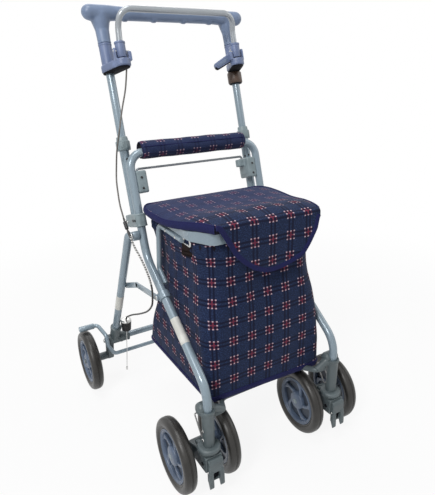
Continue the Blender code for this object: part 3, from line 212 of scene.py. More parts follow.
def filleted(corners, radius, closed=False):
    """The corner points with each corner rounded by arcs of the radius given."""
    corners = [Vector(corner) for corner in corners]
    radii = radius if isinstance(radius, (list, tuple)) else [radius] * len(corners)
    count, path = len(corners), []
    for index, corner in enumerate(corners):
        if (not closed and index in (0, count - 1)) or radii[index] == 0:
            path.append(corner)
            continue
        towards = (corners[index - 1] - corner).normalized()
        away = (corners[(index + 1) % count] - corner).normalized()
        bend = pi - towards.angle(away)
        reach = radii[index] * tan(bend / 2)
        centre = corner + (towards + away).normalized() * radii[index] / cos(bend / 2)
        first = corner + towards * reach - centre
        last = corner + away * reach - centre
        steps = max(3, ceil(bend / ARC_STEP))
        for step in range(steps + 1):
            share = step / steps
            path.append(centre + (first * sin((1 - share) * bend) + last * sin(share * bend)) / sin(bend))
    return path


def both_halves(half, radii):
    """A bent path over both sides, from its right half's corners and their radii, end to middle."""
    path = [Vector((-p[0], p[1], p[2])) for p in half] + [Vector(p) for p in half[::-1]]
    return filleted(path, radii + radii[::-1])


def box_outline(low, high, radius):
    return filleted([low, (high[0], low[1]), high, (low[0], high[1])], radius, closed=True)


def sided(outline, side):
    return [(side * point[0], point[1]) for point in outline]


def disc_hull(first, first_radius, second, second_radius, steps=10):
    first, second = Vector(first), Vector(second)
    heading = atan2(second.y - first.y, second.x - first.x)
    outline = []
    for centre, radius, start in ((first, first_radius, pi / 2), (second, second_radius, -pi / 2)):
        for step in range(steps + 1):
            angle = heading + start + pi * step / steps
            outline.append(centre + Vector((cos(angle), sin(angle))) * radius)
    return outline


def smooth_route(points, per_span):
    """Points read from the smooth curve through a route."""
    points = [Vector(point) for point in points]
    ends = [points[0] * 2 - points[1]] + points + [points[-1] * 2 - points[-2]]
    route = []
    for index in range(1, len(ends) - 2):
        before, start, end, after = ends[index - 1 : index + 3]
        for step in range(per_span):
            t = step / per_span
            curve = start * 2 + (end - before) * t + (before * 2 - start * 5 + end * 4 - after) * t**2
            route.append((curve + (start * 3 - before - end * 3 + after) * t**3) / 2)
    return route + [points[-1]]


def bump(value, low, high):
    """A smooth step from 0 at low to 1 at high."""
    share = min(max((value - low) / (high - low), 0), 1)
    return share * share * (3 - 2 * share)


# Meshes


def linked(name, data):
    """A new object with that data, in the scene."""
    obj = bpy.data.objects.new(name, data)
    bpy.context.scene.collection.objects.link(obj)
    return obj


def evaluated(obj):
    """The plain mesh that an object's modifiers make; the object itself goes."""
    bpy.context.view_layer.update()
    graph = bpy.context.evaluated_depsgraph_get()
    made = bpy.data.meshes.new_from_object(obj.evaluated_get(graph))
    obj.modifiers.clear()
    bpy.data.objects.remove(obj)
    return made


class Shape:
    """One piece in the making: closed shells, a finish number per face and a cloth map in metres."""

    def __init__(self):
        self.mesh = bmesh.new()
        self.cloth = self.mesh.loops.layers.uv.new("cloth")

    def put(self, points, faces, finish=0, cloth=None):
        made = [self.mesh.verts.new(point) for point in points]
        for face in faces:
            new = self.mesh.faces.new([made[index] for index in face])
            new.material_index = finish
            new.smooth = True
            if cloth:
                for index, loop in zip(face, new.loops):
                    loop[self.cloth].uv = cloth[index]

    def skin(self, rows, finish=0, cloth=None, caps=True):
        """Faces between rows of points; caps close the first and last rows, whose ends then meet."""
        width, count = len(rows[0]), len(rows)
        faces = []
        for a in range(count - 1):
            for b in range(width - 1):
                corner = a * width + b
                faces.append((corner, corner + 1, corner + width + 1, corner + width))
        if caps:
            faces.append(tuple(range(width - 1))[::-1])
            faces.append(tuple(range((count - 1) * width, count * width - 1)))
        flat = [point for row in rows for point in row]
        self.put(flat, faces, finish, [place for row in cloth for place in row] if cloth else None)

    def tube(self, path, radius, finish=0, sides=24, widths=None):
        """A round tube along a path, its radius times a width at each point."""
        path = [Vector(point) for point in path]
        normal, rows, cloth, length = None, [], [], 0.0
        for index, point in enumerate(path):
            ahead = path[min(index + 1, len(path) - 1)] - path[max(index - 1, 0)]
            ahead.normalize()
            if normal is None:
                normal = ahead.orthogonal() if abs(ahead.x) > 0.9 else ahead.cross((1, 0, 0))
            normal = (normal - ahead * normal.dot(ahead)).normalized()
            other = ahead.cross(normal)
            width = radius * (widths[index] if widths else 1)
            length += (point - path[index - 1]).length if index else 0
            row, places = [], []
            for step in range(sides + 1):
                angle = 2 * pi * (step % sides) / sides
                row.append(point + normal * cos(angle) * width + other * sin(angle) * width)
                places.append((2 * pi * radius * step / sides, length))
            rows.append(row)
            cloth.append(places)
        self.skin(rows, finish, cloth)

    def turned(self, profile, matrix, finish=0, closed=False, steps=40):
        """A profile of (radius, height) points turned about the matrix's Z axis."""
        rows = []
        for radius, height in [*profile, profile[0]] if closed else profile:
            ring = []
            for step in range(steps + 1):
                angle = 2 * pi * (step % steps) / steps
                ring.append(matrix @ Vector((radius * cos(angle), radius * sin(angle), height)))
            rows.append(ring)
        self.skin(rows, finish, caps=False)

    def rod(self, start, end, radius, finish=0, end_radius=None, edge=0.0005, steps=32):
        """A round bar with eased ends."""
        start, end = Vector(start), Vector(end)
        length = (end - start).length
        last = radius if end_radius is None else end_radius
        profile = [
            (0, 0), (radius - edge, 0), (radius - edge * 0.3, edge * 0.3), (radius, edge),
            (last, length - edge), (last - edge * 0.3, length - edge * 0.3), (last - edge, length), (0, length),
        ]
        self.turned(profile, aimed(start, end - start), finish, steps=steps)

    def pin(self, side, span, centre, radius, finish=0, **options):
        """A rod across the part, between two distances from its middle."""
        self.rod((side * span[0], *centre), (side * span[1], *centre), radius, finish, **options)

    def stem(self, x, across, span, radius, finish=0, **options):
        """A rod up the lean, between two distances from the rear pivot."""
        self.rod(lean(x, span[0], across), lean(x, span[1], across), radius, finish, **options)

    def plate(self, outline, span, matrix, finish=0, edge=0.0006):
        """A flat outline given a thickness, with its edges eased."""
        outline = [Vector((point[0], point[1])) for point in outline]
        count = len(outline)
        area = sum(outline[i - 1].cross(outline[i]) for i in range(count))
        sign = 1 if area > 0 else -1
        inner = []
        for index, point in enumerate(outline):
            before = (point - outline[index - 1]).normalized()
            after = (outline[(index + 1) % count] - point).normalized()
            inner.append(Vector((-(before + after).y, (before + after).x)).normalized() * sign)
        low, high = min(span), max(span)
        edge = min(edge, (high - low) / 3)
        rows = []
        for inset, height in (
            (edge, low), (edge * 0.3, low + edge * 0.3), (0, low + edge),
            (0, high - edge), (edge * 0.3, high - edge * 0.3), (edge, high),
        ):
            lift = matrix.to_3x3() @ Vector((0, 0, height))
            row = [matrix @ (point + inward * inset).to_3d() + lift for point, inward in zip(outline, inner)]
            rows.append(row + [row[0]])
        self.skin(rows, finish)

    def block(self, low, high, matrix=Matrix(), finish=0, edge=0.0006, corner=0.001):
        low, high = [min(pair) for pair in zip(low, high)], [max(pair) for pair in zip(low, high)]
        self.plate(box_outline(low[:2], high[:2], corner), (low[2], high[2]), matrix, finish, edge)

    def take(self, mesh, matrix=Matrix()):
        """Adds a plain mesh, such as what a node tree has made."""
        points = [matrix @ vertex.co for vertex in mesh.vertices]
        self.put(points, [tuple(face.vertices) for face in mesh.polygons])

    def clean(self):
        """Merges doubles and turns the faces out."""
        shape = self.mesh
        bmesh.ops.remove_doubles(shape, verts=shape.verts, dist=WELD)
        bmesh.ops.dissolve_degenerate(shape, dist=WELD, edges=shape.edges)
        bmesh.ops.recalc_face_normals(shape, faces=shape.faces)
        return shape

    def melt(self, voxel, rounds):
        """Runs the shells so far into one moulded skin with soft fillets."""
        mesh = bpy.data.meshes.new("melt")
        self.clean().to_mesh(mesh)
        self.mesh.free()
        obj = linked("melt", mesh)
        remesh = obj.modifiers.new("remesh", "REMESH")
        remesh.mode, remesh.voxel_size = "VOXEL", voxel
        smooth = obj.modifiers.new("smooth", "SMOOTH")
        smooth.factor, smooth.iterations = 0.5, rounds
        self.__init__()
        self.take(evaluated(obj))

    def finish(self, piece, body, looks, slot, name=None, sharp=38):
        """Makes the object, at the origin and with its faces out, and hands it to the frame."""
        shape = self.clean()
        bmesh.ops.translate(shape, vec=DATUM, verts=shape.verts)
        name = name or f"{piece}_skin"
        mesh = bpy.data.meshes.new(name)
        shape.to_mesh(mesh)
        shape.free()
        for key in looks.split():
            mesh.materials.append(look(key))
        mesh.set_sharp_from_angle(angle=radians(sharp))
        obj = linked(name, mesh)
        if body:
            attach(obj, body)
        if piece:
            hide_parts(piece)
        return obj


# Node trees


WHITE = (1, 1, 1, 1)


class Value:
    """A node's output; arithmetic on it adds the maths nodes."""

    def __init__(self, nodes, socket):
        self.nodes, self.socket = nodes, socket

    def maths(self, operation, *others):
        return self.nodes.node("ShaderNodeMath", {"operation": operation}, self, *others)

    def __add__(self, other):
        return self.maths("ADD", other)

    def __sub__(self, other):
        return self.maths("SUBTRACT", other)

    def __rsub__(self, other):
        return self.nodes.node("ShaderNodeMath", {"operation": "SUBTRACT"}, other, self)

    def __mul__(self, other):
        return self.maths("MULTIPLY", other)

    def __truediv__(self, other):
        return self.maths("DIVIDE", other)

    def __rtruediv__(self, other):
        return self.nodes.node("ShaderNodeMath", {"operation": "DIVIDE"}, other, self)

    __radd__ = __add__
    __rmul__ = __mul__

    def below(self, limit):
        return self.maths("LESS_THAN", limit)

    def larger(self, other):
        return self.maths("MAXIMUM", other)

    def size(self):
        return self.maths("ABSOLUTE")

    def within(self, pitch):
        """Distance from the middle of the cell that this place is in, for cells of that pitch."""
        return self.maths("WRAP", pitch / 2, -pitch / 2)

    def step(self, low, high):
        """A smooth 0 to 1 between two values."""
        return self.nodes.node(
            "ShaderNodeMapRange", {"interpolation_type": "SMOOTHSTEP"}, self, low, high, 0.0, 1.0
        )


class Nodes:
    """A node tree in the writing; every node in it comes from one method."""

    def __init__(self, tree):
        self.tree = tree

    def node(self, kind, settings=None, *values, output=0, **sockets):
        """Adds a node: its settings, then its sockets in order or by identifier, each a value or a link."""
        made = self.tree.nodes.new(kind)
        for key, value in (settings or {}).items():
            setattr(made, key, value)
        named = {socket.identifier: socket for socket in made.inputs}
        for target, value in [*zip(made.inputs, values), *((named[key], value) for key, value in sockets.items())]:
            if isinstance(value, Value):
                self.tree.links.new(value.socket, target)
            elif value is not None:
                target.default_value = value
        found = [socket for index, socket in enumerate(made.outputs) if output in (index, socket.identifier)]
        return Value(self, found[0]) if found else None

    def place(self, kind="Object"):
        return self.node("ShaderNodeTexCoord", {}, output=kind)

    def parts(self, vector):
        return [self.node("ShaderNodeSeparateXYZ", {}, vector, output=index) for index in range(3)]


class Grower(Nodes):
    """A geometry node tree with named inputs, a material among them."""

    def __init__(self, name, inputs):
        super().__init__(bpy.data.node_groups.new(name, "GeometryNodeTree"))
        face = self.tree.interface
        every = [("Geometry", "NodeSocketGeometry", None), *inputs, ("Material", "NodeSocketMaterial", None)]
        self.labels = [label for label, _, _ in every]
        for label, kind, value in every:
            socket = face.new_socket(label, in_out="INPUT", socket_type=kind)
            if value is not None:
                socket.default_value = value
        face.new_socket("Geometry", in_out="OUTPUT", socket_type="NodeSocketGeometry")

    def given(self, label):
        return self.node("NodeGroupInput", {}, output=self.labels.index(label))

    def close(self, points, instance, **sockets):
        """Sets copies on the points, as plain geometry in the material, and gives them out."""
        copies = self.node("GeometryNodeInstanceOnPoints", {}, Points=points, Instance=instance, **sockets)
        real = self.node("GeometryNodeRealizeInstances", {}, copies)
        painted = self.node("GeometryNodeSetMaterial", {}, Geometry=real, Material=self.given("Material"))
        self.node("NodeGroupOutput", {}, painted)
        return self.tree


class Look(Nodes):
    """A material made of nodes."""

    def __init__(self, name, colour, roughness, metallic=0.0, coat=0.0):
        self.material = bpy.data.materials.new(name)
        self.material.use_nodes = True
        self.material.diffuse_color = (*colour, 1)
        super().__init__(self.material.node_tree)
        self.shader = self.tree.nodes["Principled BSDF"]
        self.set("Base Color", (*colour, 1))
        self.set("Roughness", roughness)
        self.set("Metallic", metallic)
        self.set("Coat Weight", coat)

    def set(self, socket, value):
        if isinstance(value, Value):
            self.tree.links.new(value.socket, self.shader.inputs[socket])
        else:
            self.shader.inputs[socket].default_value = value

    def noise(self, scale, detail=2.0, vector=None):
        return self.node("ShaderNodeTexNoise", {}, Vector=vector or self.place(), Scale=scale, Detail=detail)

    def mix(self, share, first, second):
        first, second = (value if isinstance(value, Value) else (*value[:3], 1) for value in (first, second))
        return self.node(
            "ShaderNodeMix", {"data_type": "RGBA"}, output="Result_Color",
            Factor_Float=share, A_Color=first, B_Color=second,
        )

    def bump(self, height, strength, distance):
        self.set("Normal", self.node("ShaderNodeBump", {}, Strength=strength, Distance=distance, Height=height))


def ring_tree():
    """Copies of the incoming shape set round the Z axis."""
    grower = Grower("ring of copies", [("Count", "NodeSocketInt", 5)])
    count = grower.given("Count")
    turn = grower.node("GeometryNodeInputIndex") / count * (2 * pi)
    points = grower.node("GeometryNodePoints", {}, Count=count)
    rotation = grower.node("ShaderNodeCombineXYZ", {}, Z=turn)
    return grower.close(points, grower.given("Geometry"), Rotation=rotation)


def stitch_tree():
    """Short thread dashes along the incoming line."""
    grower = Grower(
        "stitches along a line",
        [("Spacing", "NodeSocketFloat", 0.004), ("Length", "NodeSocketFloat", 0.0028),
         ("Thread", "NodeSocketFloat", 0.0006)],
    )
    line = grower.node("GeometryNodeMeshToCurve", {}, Mesh=grower.given("Geometry"))
    spaced = grower.node("GeometryNodeResampleCurve", {"mode": "LENGTH"}, Curve=line, Length=grower.given("Spacing"))
    points, turns = (
        grower.node("GeometryNodeCurveToPoints", {"mode": "EVALUATED"}, Curve=spaced, output=name)
        for name in ("Points", "Rotation")
    )
    thread = grower.given("Thread")
    size = grower.node("ShaderNodeCombineXYZ", {}, X=thread, Y=thread, Z=grower.given("Length"))
    dash = grower.node("GeometryNodeMeshIcoSphere", {}, Radius=0.5, Subdivisions=1)
    return grower.close(points, dash, Rotation=turns, Scale=size)


def grown(points, faces, tree, edges=(), **inputs):
    """The plain mesh that a node tree makes from a guide."""
    guide = bpy.data.meshes.new("guide")
    guide.from_pydata([tuple(point) for point in points], edges, faces)
    obj = linked("guide", guide)
    modifier = obj.modifiers.new("grow", "NODES")
    modifier.node_group = tree
    for item in tree.interface.items_tree:
        if item.in_out == "INPUT" and item.name in inputs:
            modifier[item.identifier] = inputs[item.name]
    return evaluated(obj)


# Materials


# Painted sheen: the pale bluish colour that the cloth is painted towards where light falls on it
PAINTED_SHEEN = (0.042, 0.052, 0.135)


def shade(colour, factor):
    return tuple(min(part * factor, 1) for part in colour)


def paint_look(name, colour, metallic=0.15, roughness=0.25):
    """Metallic paint: fine flakes, a faint orange peel and duller patches."""
    look = Look(name, colour, roughness, metallic, coat=0.15)
    flake = look.noise(2600, 1)
    patch = look.noise(22, 3)
    base = look.mix(flake.step(0.4, 0.66), shade(colour, 0.88), shade(colour, 1.12))
    look.set("Base Color", look.mix(patch.step(0.35, 0.75) * 0.35, base, shade(colour, 0.8)))
    look.set("Roughness", patch * 0.16 + (roughness - 0.08))
    look.bump(look.noise(900, 1), 0.1, 0.0002)
    return look.material


def plastic_look(name, colour, roughness=0.4):
    """Moulded plastic: fine spark texture, scuffed and paler in patches."""
    look, grain = Look(name, colour, roughness), 1500
    patch = look.noise(38, 4)
    base = look.mix(patch.step(0.42, 0.8), colour, shade(colour, 1.35))
    look.set("Base Color", look.mix(look.noise(grain, 1).step(0.5, 0.8) * 0.25, base, shade(colour, 0.7)))
    look.set("Roughness", patch * 0.22 + (roughness - 0.1))
    look.bump(look.noise(grain, 2), 0.22, 0.0003)
    return look.material


def rubber_look(name, colour):
    """Rubber, dusty in patches."""
    look = Look(name, colour, 0.36)
    dust = look.noise(60, 4)
    look.set("Base Color", look.mix(dust.step(0.4, 0.75), colour, shade(colour, 1.5)))
    look.set("Roughness", dust * 0.2 + 0.28)
    look.bump(look.noise(1200, 2), 0.3, 0.0004)
    return look.material


def metal_look(name, colour, roughness):
    """Bare metal with fine streaks."""
    look = Look(name, colour, roughness, 1.0)
    streak = look.noise(140, 4)
    look.set("Base Color", look.mix(streak.step(0.3, 0.8), shade(colour, 0.86), shade(colour, 1.12)))
    look.set("Roughness", streak * 0.18 + (roughness - 0.07))
    look.bump(look.noise(700, 2), 0.1, 0.0002)
    return look.material


def plaid_look(name, cloth, painted_sheen=None):
    """Navy check: pairs of dark stripes both ways and a woven star at each crossing, under a painted sheen where asked.
    """
    look = Look(name, cloth.ground, 0.86)
    look.shader.inputs["Sheen Weight"].default_value = 0.04
    look.shader.inputs["Specular IOR Level"].default_value = 0.2
    pitch = cloth.pitch
    across, along = look.parts(look.place("UV"))[:2]
    x, y = across.within(pitch), along.within(pitch)
    gap, half = pitch * 0.1, pitch * 0.048
    wide, narrow = 0.035, 0.029

    def pair(value):
        return 1 - (value.size() - gap).size().step(half * 0.7, half * 1.3)

    def thread(value, width):
        return value.within(pitch * 0.19).size().below(pitch * width)

    weave = look.noise(1900, 1, look.place("UV"))
    slub = look.noise(520, 3, look.place("UV"))
    ground = look.mix(weave.step(0.35, 0.7), shade(cloth.ground, 0.5), shade(cloth.ground, 1.45))
    ground = look.mix(slub.step(0.44, 0.68) * 0.75, ground, shade(cloth.ground, 3.0))
    lines = look.mix(pair(x) * 0.85, ground, cloth.stripe)
    lines = look.mix(pair(y) * 0.85, lines, cloth.stripe)
    reach = x.size().larger(y.size())
    column, row = thread(x, wide), thread(y, narrow)
    both = column * row
    middle = x.size().below(pitch * wide).larger(y.size().below(pitch * narrow))
    woven = (column + row - both) * reach.below(pitch * 0.2)
    colour = look.mix(woven * (middle * 0.34 + 0.3), lines, cloth.star)
    dots = both * reach.below(pitch * 0.25) * (1 - reach.below(pitch * 0.09))
    colour = look.mix(dots, colour, cloth.fleck)
    # Painted sheen: fades the colour towards pale blue, more further along the cloth map, as lit cloth looks
    if painted_sheen:
        low, high, most = painted_sheen
        colour = look.mix(along.step(low, high) * most, colour, PAINTED_SHEEN)
    look.set("Base Color", colour)
    look.set("Roughness", weave * 0.15 + 0.78)
    look.bump(weave * 0.6 + slub * 0.4, 0.35, 0.0006)
    return look.material


def coil_look(name):
    """Black cable sleeve with a bright wound part below the clip."""
    look = Look(name, (0.02, 0.02, 0.02), 0.4)
    height = look.parts(look.place())[2]
    part = height.step(0.328, 0.331) * (1 - height.step(0.405, 0.408))
    wound = part * height.within(0.0036).size().below(0.0011)
    look.set("Base Color", look.mix(wound, (0.02, 0.018, 0.016), (0.6, 0.6, 0.58)))
    return look.material


def binding_look(name, colour):
    """Plain woven tape with a fine cross rib."""
    look = Look(name, colour, 0.85)
    look.shader.inputs["Sheen Weight"].default_value = 0.02
    look.shader.inputs["Specular IOR Level"].default_value = 0.15
    weave = look.noise(1500, 2)
    look.set("Base Color", look.mix(weave.step(0.3, 0.75), shade(colour, 0.7), shade(colour, 1.45)))
    look.set("Roughness", weave * 0.15 + 0.7)
    look.bump(weave, 0.3, 0.0004)
    return look.material


LOOKS = {}


def look(name):
    """The material of that name; all are made the first time one is asked for."""
    if not LOOKS:
        finish, cloth = bpy.context.scene.rollator_finish, bpy.context.scene.rollator_cloth
        LOOKS.update(
            paint=paint_look("frame_paint", tuple(finish.paint)),
            bar=paint_look("bar_silver", (0.4, 0.43, 0.46), 0.3, 0.26),
            fitting=plastic_look("fitting_plastic", tuple(finish.fitting)),
            housing=plastic_look("housing_plastic", tuple(finish.housing)),
            grip=plastic_look("grip_plastic", tuple(finish.grip), 0.36),
            hub=plastic_look("hub_plastic", tuple(finish.hub), 0.36),
            # Backing disc of the hubs: the hub colour darkened as painted shade in the recesses
            web=plastic_look("hub_web", shade(finish.hub, 0.32), 0.5),
            dark=binding_look("shadow_gap", (0.003, 0.003, 0.006)),
            casting=plastic_look("casting_plastic", shade(finish.fitting, 0.43)),
            wire=metal_look("clip_wire", (0.3, 0.3, 0.3), 0.3),
            cable=plastic_look("cable_sleeve", (0.13, 0.12, 0.11), 0.35),
            coil=coil_look("cable_coil"),
            # The lid's top and the roll get a painted sheen: the lid's grows towards its back, the roll's is even all
            # over
            lid=plaid_look("lid_plaid", cloth, (0.02, 0.12, 0.5)),
            roll=plaid_look("roll_plaid", cloth, (-1, -0.9, 0.34)),
            tyre=rubber_look("tyre_rubber", tuple(finish.tyre)),
            tab=binding_look("strap_tape", (0.016, 0.01, 0.009)),
            brown=rubber_look("brown_rubber", (0.075, 0.045, 0.032)),
            black=plastic_look("black_plastic", (0.013, 0.013, 0.015), 0.4),
            chrome=metal_look("bright_wire", (0.62, 0.62, 0.61), 0.22),
            tape=plastic_look("reflective_tape", (0.66, 0.66, 0.62), 0.4),
            plaid=plaid_look("navy_plaid", cloth),
            binding=binding_look("navy_binding", tuple(cloth.binding)),
            lining=binding_look("dark_lining", (0.012, 0.012, 0.022)),
            thread=binding_look("thread", (0.035, 0.033, 0.13)),
            # Near-black painted shade inside the roll's open ends
            foam=binding_look("foam", (0.03, 0.03, 0.04)),
        )
    return LOOKS[name]


# Frame


def both_sides(maker):
    """Runs a maker of one side's pieces for the left and then for the right."""

    def make():
        for label, side in SIDES.items():
            maker(label, side)

    return make


def make_front_frame():
    """The long bent tube, its reflective bands and the small studs on it."""
    shape = Shape()
    foot = leg_point((knee().y - CASTER_Y) / cos(LEG_SLOPE))
    half = [(FRAME_X, CASTER_Y, 0.1535), foot, knee(), lean(FRAME_X, LOOP_ALONG)]
    shape.tube(both_halves(half, [0, 0.05, 0.07, 0.028]), FRAME_TUBE)
    for side in SIDES.values():
        shape.pin(side, (0.135, 0.1512), PIVOT, 0.003)
        shape.pin(side, (0.1512, 0.1538), PIVOT, 0.0055, 2, edge=0.001)
        shape.tube([leg_point(distance, side * FRAME_X) for distance in (0.132, 0.181)], TAPE_RADIUS, 1)
    shape.finish("front_frame_tube", "front_frame", "paint tape chrome", "frame_paint")


@both_sides
def make_posts(label, side):
    """A lower post with its snap buttons, the post that slides in it, and the collar between them."""
    x = side * POST_X
    lower = Shape()
    lower.turned(
        [(POST_BORE, 0), (0.0081, 0), (POST_TUBE, 0.0004), (POST_TUBE, 0.146), (0.0081, 0.1464), (POST_BORE, 0.1464)],
        aimed(lean(x, 0.0155, POST_ACROSS), UP), closed=True,
    )
    for along in (0.137, 0.1195):
        button = lean(x, along, POST_ACROSS) - BACK * (POST_TUBE - 0.0012)
        lower.rod(button, button - BACK * 0.0017, 0.0022, 1)
    button = lean(x, 0.1195, POST_ACROSS) + Vector((side * -0.0065, -0.0052, 0))
    lower.rod(button, button + Vector((side * -0.001, -0.001, 0)), 0.002, 1)
    lower.finish(f"post_{label}", "front_frame", "paint black", "post_paint")
    upper = Shape()
    upper.stem(x, POST_ACROSS, (0.0315, 0.365), UPPER_TUBE)
    upper.finish(f"upper_post_{label}", "handle", "paint", "post_paint")
    collar = Shape()
    collar.turned(
        [(0.0078, 0.0242), (0.0093, 0.0242), (0.0099, 0.0236), (0.0105, 0.0182), (0.0108, 0.0172), (0.0121, 0.0164),
         (0.0126, 0.0158), (0.0128, 0.009), (0.0126, 0.0014), (0.012, 0), (0.0088, 0), (0.0088, 0.008),
         (0.0078, 0.009)],
        aimed(lean(x, COLLAR_ALONG, POST_ACROSS), UP), closed=True,
    )
    place = lean_matrix(x, COLLAR_ALONG, POST_ACROSS)
    collar.block((-0.0035, -0.0139, 0.002), (0.0035, -0.011, 0.0145), place, corner=0.0012)
    collar.finish(f"post_collar_{label}", "front_frame", "fitting", "green_grey")


@both_sides
def make_clamps(label, side):
    """The clamp round upright and post, with a thicker band at each end and its rivets."""
    shape = Shape()
    outline = filleted(
        [(0.121, -0.0105), (0.1414, -0.0105), (0.1414, 0.05), (0.1335, 0.05), (0.1315, 0.0395), (0.121, 0.0395)],
        [0.008, 0.008, 0.003, 0.003, 0.0025, 0.008], closed=True,
    )
    shape.plate(sided(outline, side), (0.0155, 0.0375), lean_matrix(), edge=0.0014)
    outline = sided(box_outline((0.1203, -0.0112), (0.142, 0.0405), 0.009), side)
    for low in (0.0148, 0.035):
        shape.plate(outline, (low, low + 0.0032), lean_matrix(), edge=0.001)
    shape.melt(0.001, 2)
    face, middle = side * 0.1412, 0.0265
    for across in (0.0405, 0.0475):
        rivet = lean(face, middle + (across - 0.0445) * 0.6, across)
        shape.rod(rivet, rivet + Vector((side * 0.002, 0, 0)), 0.0026, 1, edge=0.0009)
    for across in (-0.002, 0.0085):
        rivet = lean(face, middle, across)
        shape.rod(rivet, rivet + Vector((side * 0.0018, 0, 0)), 0.0024, 2, edge=0.0008)
    shape.finish(f"frame_clamp_{label}", "front_frame", "fitting chrome black", "green_grey")


@both_sides
def make_locks(label, side):
    """A lock housing on the upright; only the right one shows its lug."""
    shape = Shape()
    boxes = [((0.1055, -0.006), (0.1262, 0.031), 0.005, (0.073, 0.113), 0.0024)]
    if side > 0:
        boxes.append(((0.0905, 0.004), (0.109, 0.018), 0.005, (0.0965, 0.111), 0.0015))
    boxes.append(((0.1042, 0.001), (0.112, 0.024), 0.003, (0.079, 0.107), 0.0012))
    for low, high, corner, span, edge in boxes:
        shape.plate(sided(box_outline(low, high, corner), side), span, lean_matrix(), edge=edge)
    shape.melt(0.0011, 3)
    for along in (0.1005, 0.0815):
        screw = [lean(side * 0.1165, along, across) for across in (-0.0063, -0.0071)]
        shape.rod(*screw, 0.0022, 1, edge=0.0003)
    shape.finish(f"lock_housing_{label}", "front_frame", "fitting black", "green_grey")


def make_release_rod():
    """The thin rod that joins the two lock housings behind the uprights."""
    shape = Shape()
    half = [lean(0.1125, along, 0.0253) for along in (0.107, 0.1178)]
    shape.tube(both_halves(half, [0, 0.004]), 0.0022, sides=16)
    shape.finish("release_rod", "release_rod", "bar", "wire")


@both_sides
def make_rear_sides(label, side):
    """A rear leg, its joint casting with the stub axle, the bent side stay and the sleeve it slides by."""
    hip = Vector((side * LEG_HIP.x, LEG_HIP.y, LEG_HIP.z))
    joint = Vector((side * JOINT_CENTRE.x, JOINT_CENTRE.y, JOINT_CENTRE.z))
    up_leg = (hip - joint).normalized()
    leg = Shape()
    path = filleted([(side * 0.14515, PIVOT[0] + 0.003, PIVOT[1]), hip, joint + up_leg * 0.0155], 0.012)
    leg.tube(path, FRAME_TUBE, widths=[0.74 + 0.26 * bump(i, 0, 8) for i in range(len(path))])
    leg.pin(side, (0.1393, 0.151), PIVOT, 0.0085, edge=0.001)
    leg.pin(side, (STAY_INSIDE, 0.152), STAY_PIVOT, 0.003)
    leg.pin(side, (0.1417, STAY_INSIDE), STAY_PIVOT, 0.005, 2, edge=0.0005)
    leg.tube([joint + up_leg * distance for distance in (0.106, 0.146)], TAPE_RADIUS, 1)
    leg.finish(f"rear_leg_{label}", "rear_frame", "paint tape chrome", "frame_paint")
    cast = Shape()
    centre, matrix = (joint.y, joint.z), side_matrix(0, side)
    cast.pin(side, (0.128, 0.176), centre, 0.0115, edge=0.001)
    for x in (0.1285, 0.1445):
        cast.pin(side, (x, x + 0.0035), centre, 0.0122, edge=0.0008)
    cast.rod(joint, joint + up_leg * 0.041, 0.0108, edge=0.001)
    cast.rod(joint + up_leg * 0.0365, joint + up_leg * 0.0412, 0.0117, edge=0.001)
    cast.plate(disc_hull(centre, 0.0112, REAR_AXLE, 0.0095), (0.165, 0.178), matrix, edge=0.0018)
    cast.plate(disc_hull(centre, 0.0065, REAR_AXLE, 0.005), (0.176, 0.1792), matrix, edge=0.0012)
    cast.pin(side, (0.177, 0.2044), REAR_AXLE, 0.0085, edge=0.001)
    cast.pin(side, (0.2, 0.2282), REAR_AXLE, 0.005)
    cast.pin(side, (0.175, 0.1845), centre, 0.003, 1)
    cast.finish(f"rear_joint_{label}", "rear_frame", "casting chrome", "green_grey")
    stay = Shape()
    for first, second in ((STAY_PIVOT, STAY_KNEE), (STAY_KNEE, STAY_FRONT)):
        stay.plate(disc_hull(first, 0.0055, second, 0.0055), (0.1432, 0.1462), matrix, edge=0.0008)
    stay.pin(side, (0.146, 0.1476), STAY_FRONT, 0.0042, 1, edge=0.0007)
    stay.finish(f"side_stay_{label}", "side_stays", "paint chrome", "frame_paint")
    sleeve = Shape()
    sleeve.turned(
        [(0.0078, -0.007), (0.0098, -0.007), (0.0105, -0.0062), (0.0105, 0.0062), (0.0098, 0.007), (0.0078, 0.007)],
        aimed((side * FRAME_X, *STAY_FRONT), DOWN_LEG), closed=True,
    )
    sleeve.pin(side, (FRAME_X + 0.008, STAY_INSIDE), STAY_FRONT, 0.0055)
    sleeve.finish(f"stay_sleeve_{label}", "stay_sleeves", "paint", "green_grey")


def make_rear_cross():
    """The straight tube from one rear joint to the other."""
    cross = Shape()
    cross.pin(1, (-LEG_HIP.x, LEG_HIP.x), JOINT_CENTRE.yz, 0.0065)
    cross.finish("rear_cross_tube", "rear_frame", "paint", "frame_paint")


def make_brake_rod():
    """The bent rod behind the rear joints, with its pads over the tyres and the levers it turns on."""
    shape = Shape()
    pivot = JOINT_CENTRE.yz
    half = [
        (0.2275, *SHOE_SPINDLE), (0.1885, *SHOE_SPINDLE), (0.1805, 0.106, 0.1255), (0.1805, 0.1008, 0.103),
        (0.168, 0.103, 0.078),
    ]
    shape.tube(both_halves(half, [0, 0.009, 0.012, 0.012, 0.012]), 0.0042, sides=20)
    for side in SIDES.values():
        shape.pin(side, (0.1955, 0.2277), SHOE_SPINDLE, 0.0062, 1, edge=0.0015)
        shape.plate(disc_hull(pivot, 0.006, (0.1012, 0.1055), 0.0038), (0.1788, 0.1818), side_matrix(0, side))
        shape.pin(side, (0.1818, 0.184), pivot, 0.0042, 2, edge=0.0006)
    shape.finish("brake_rod", "brake_rod", "paint paint chrome", "frame_paint")


# Casters and wheels


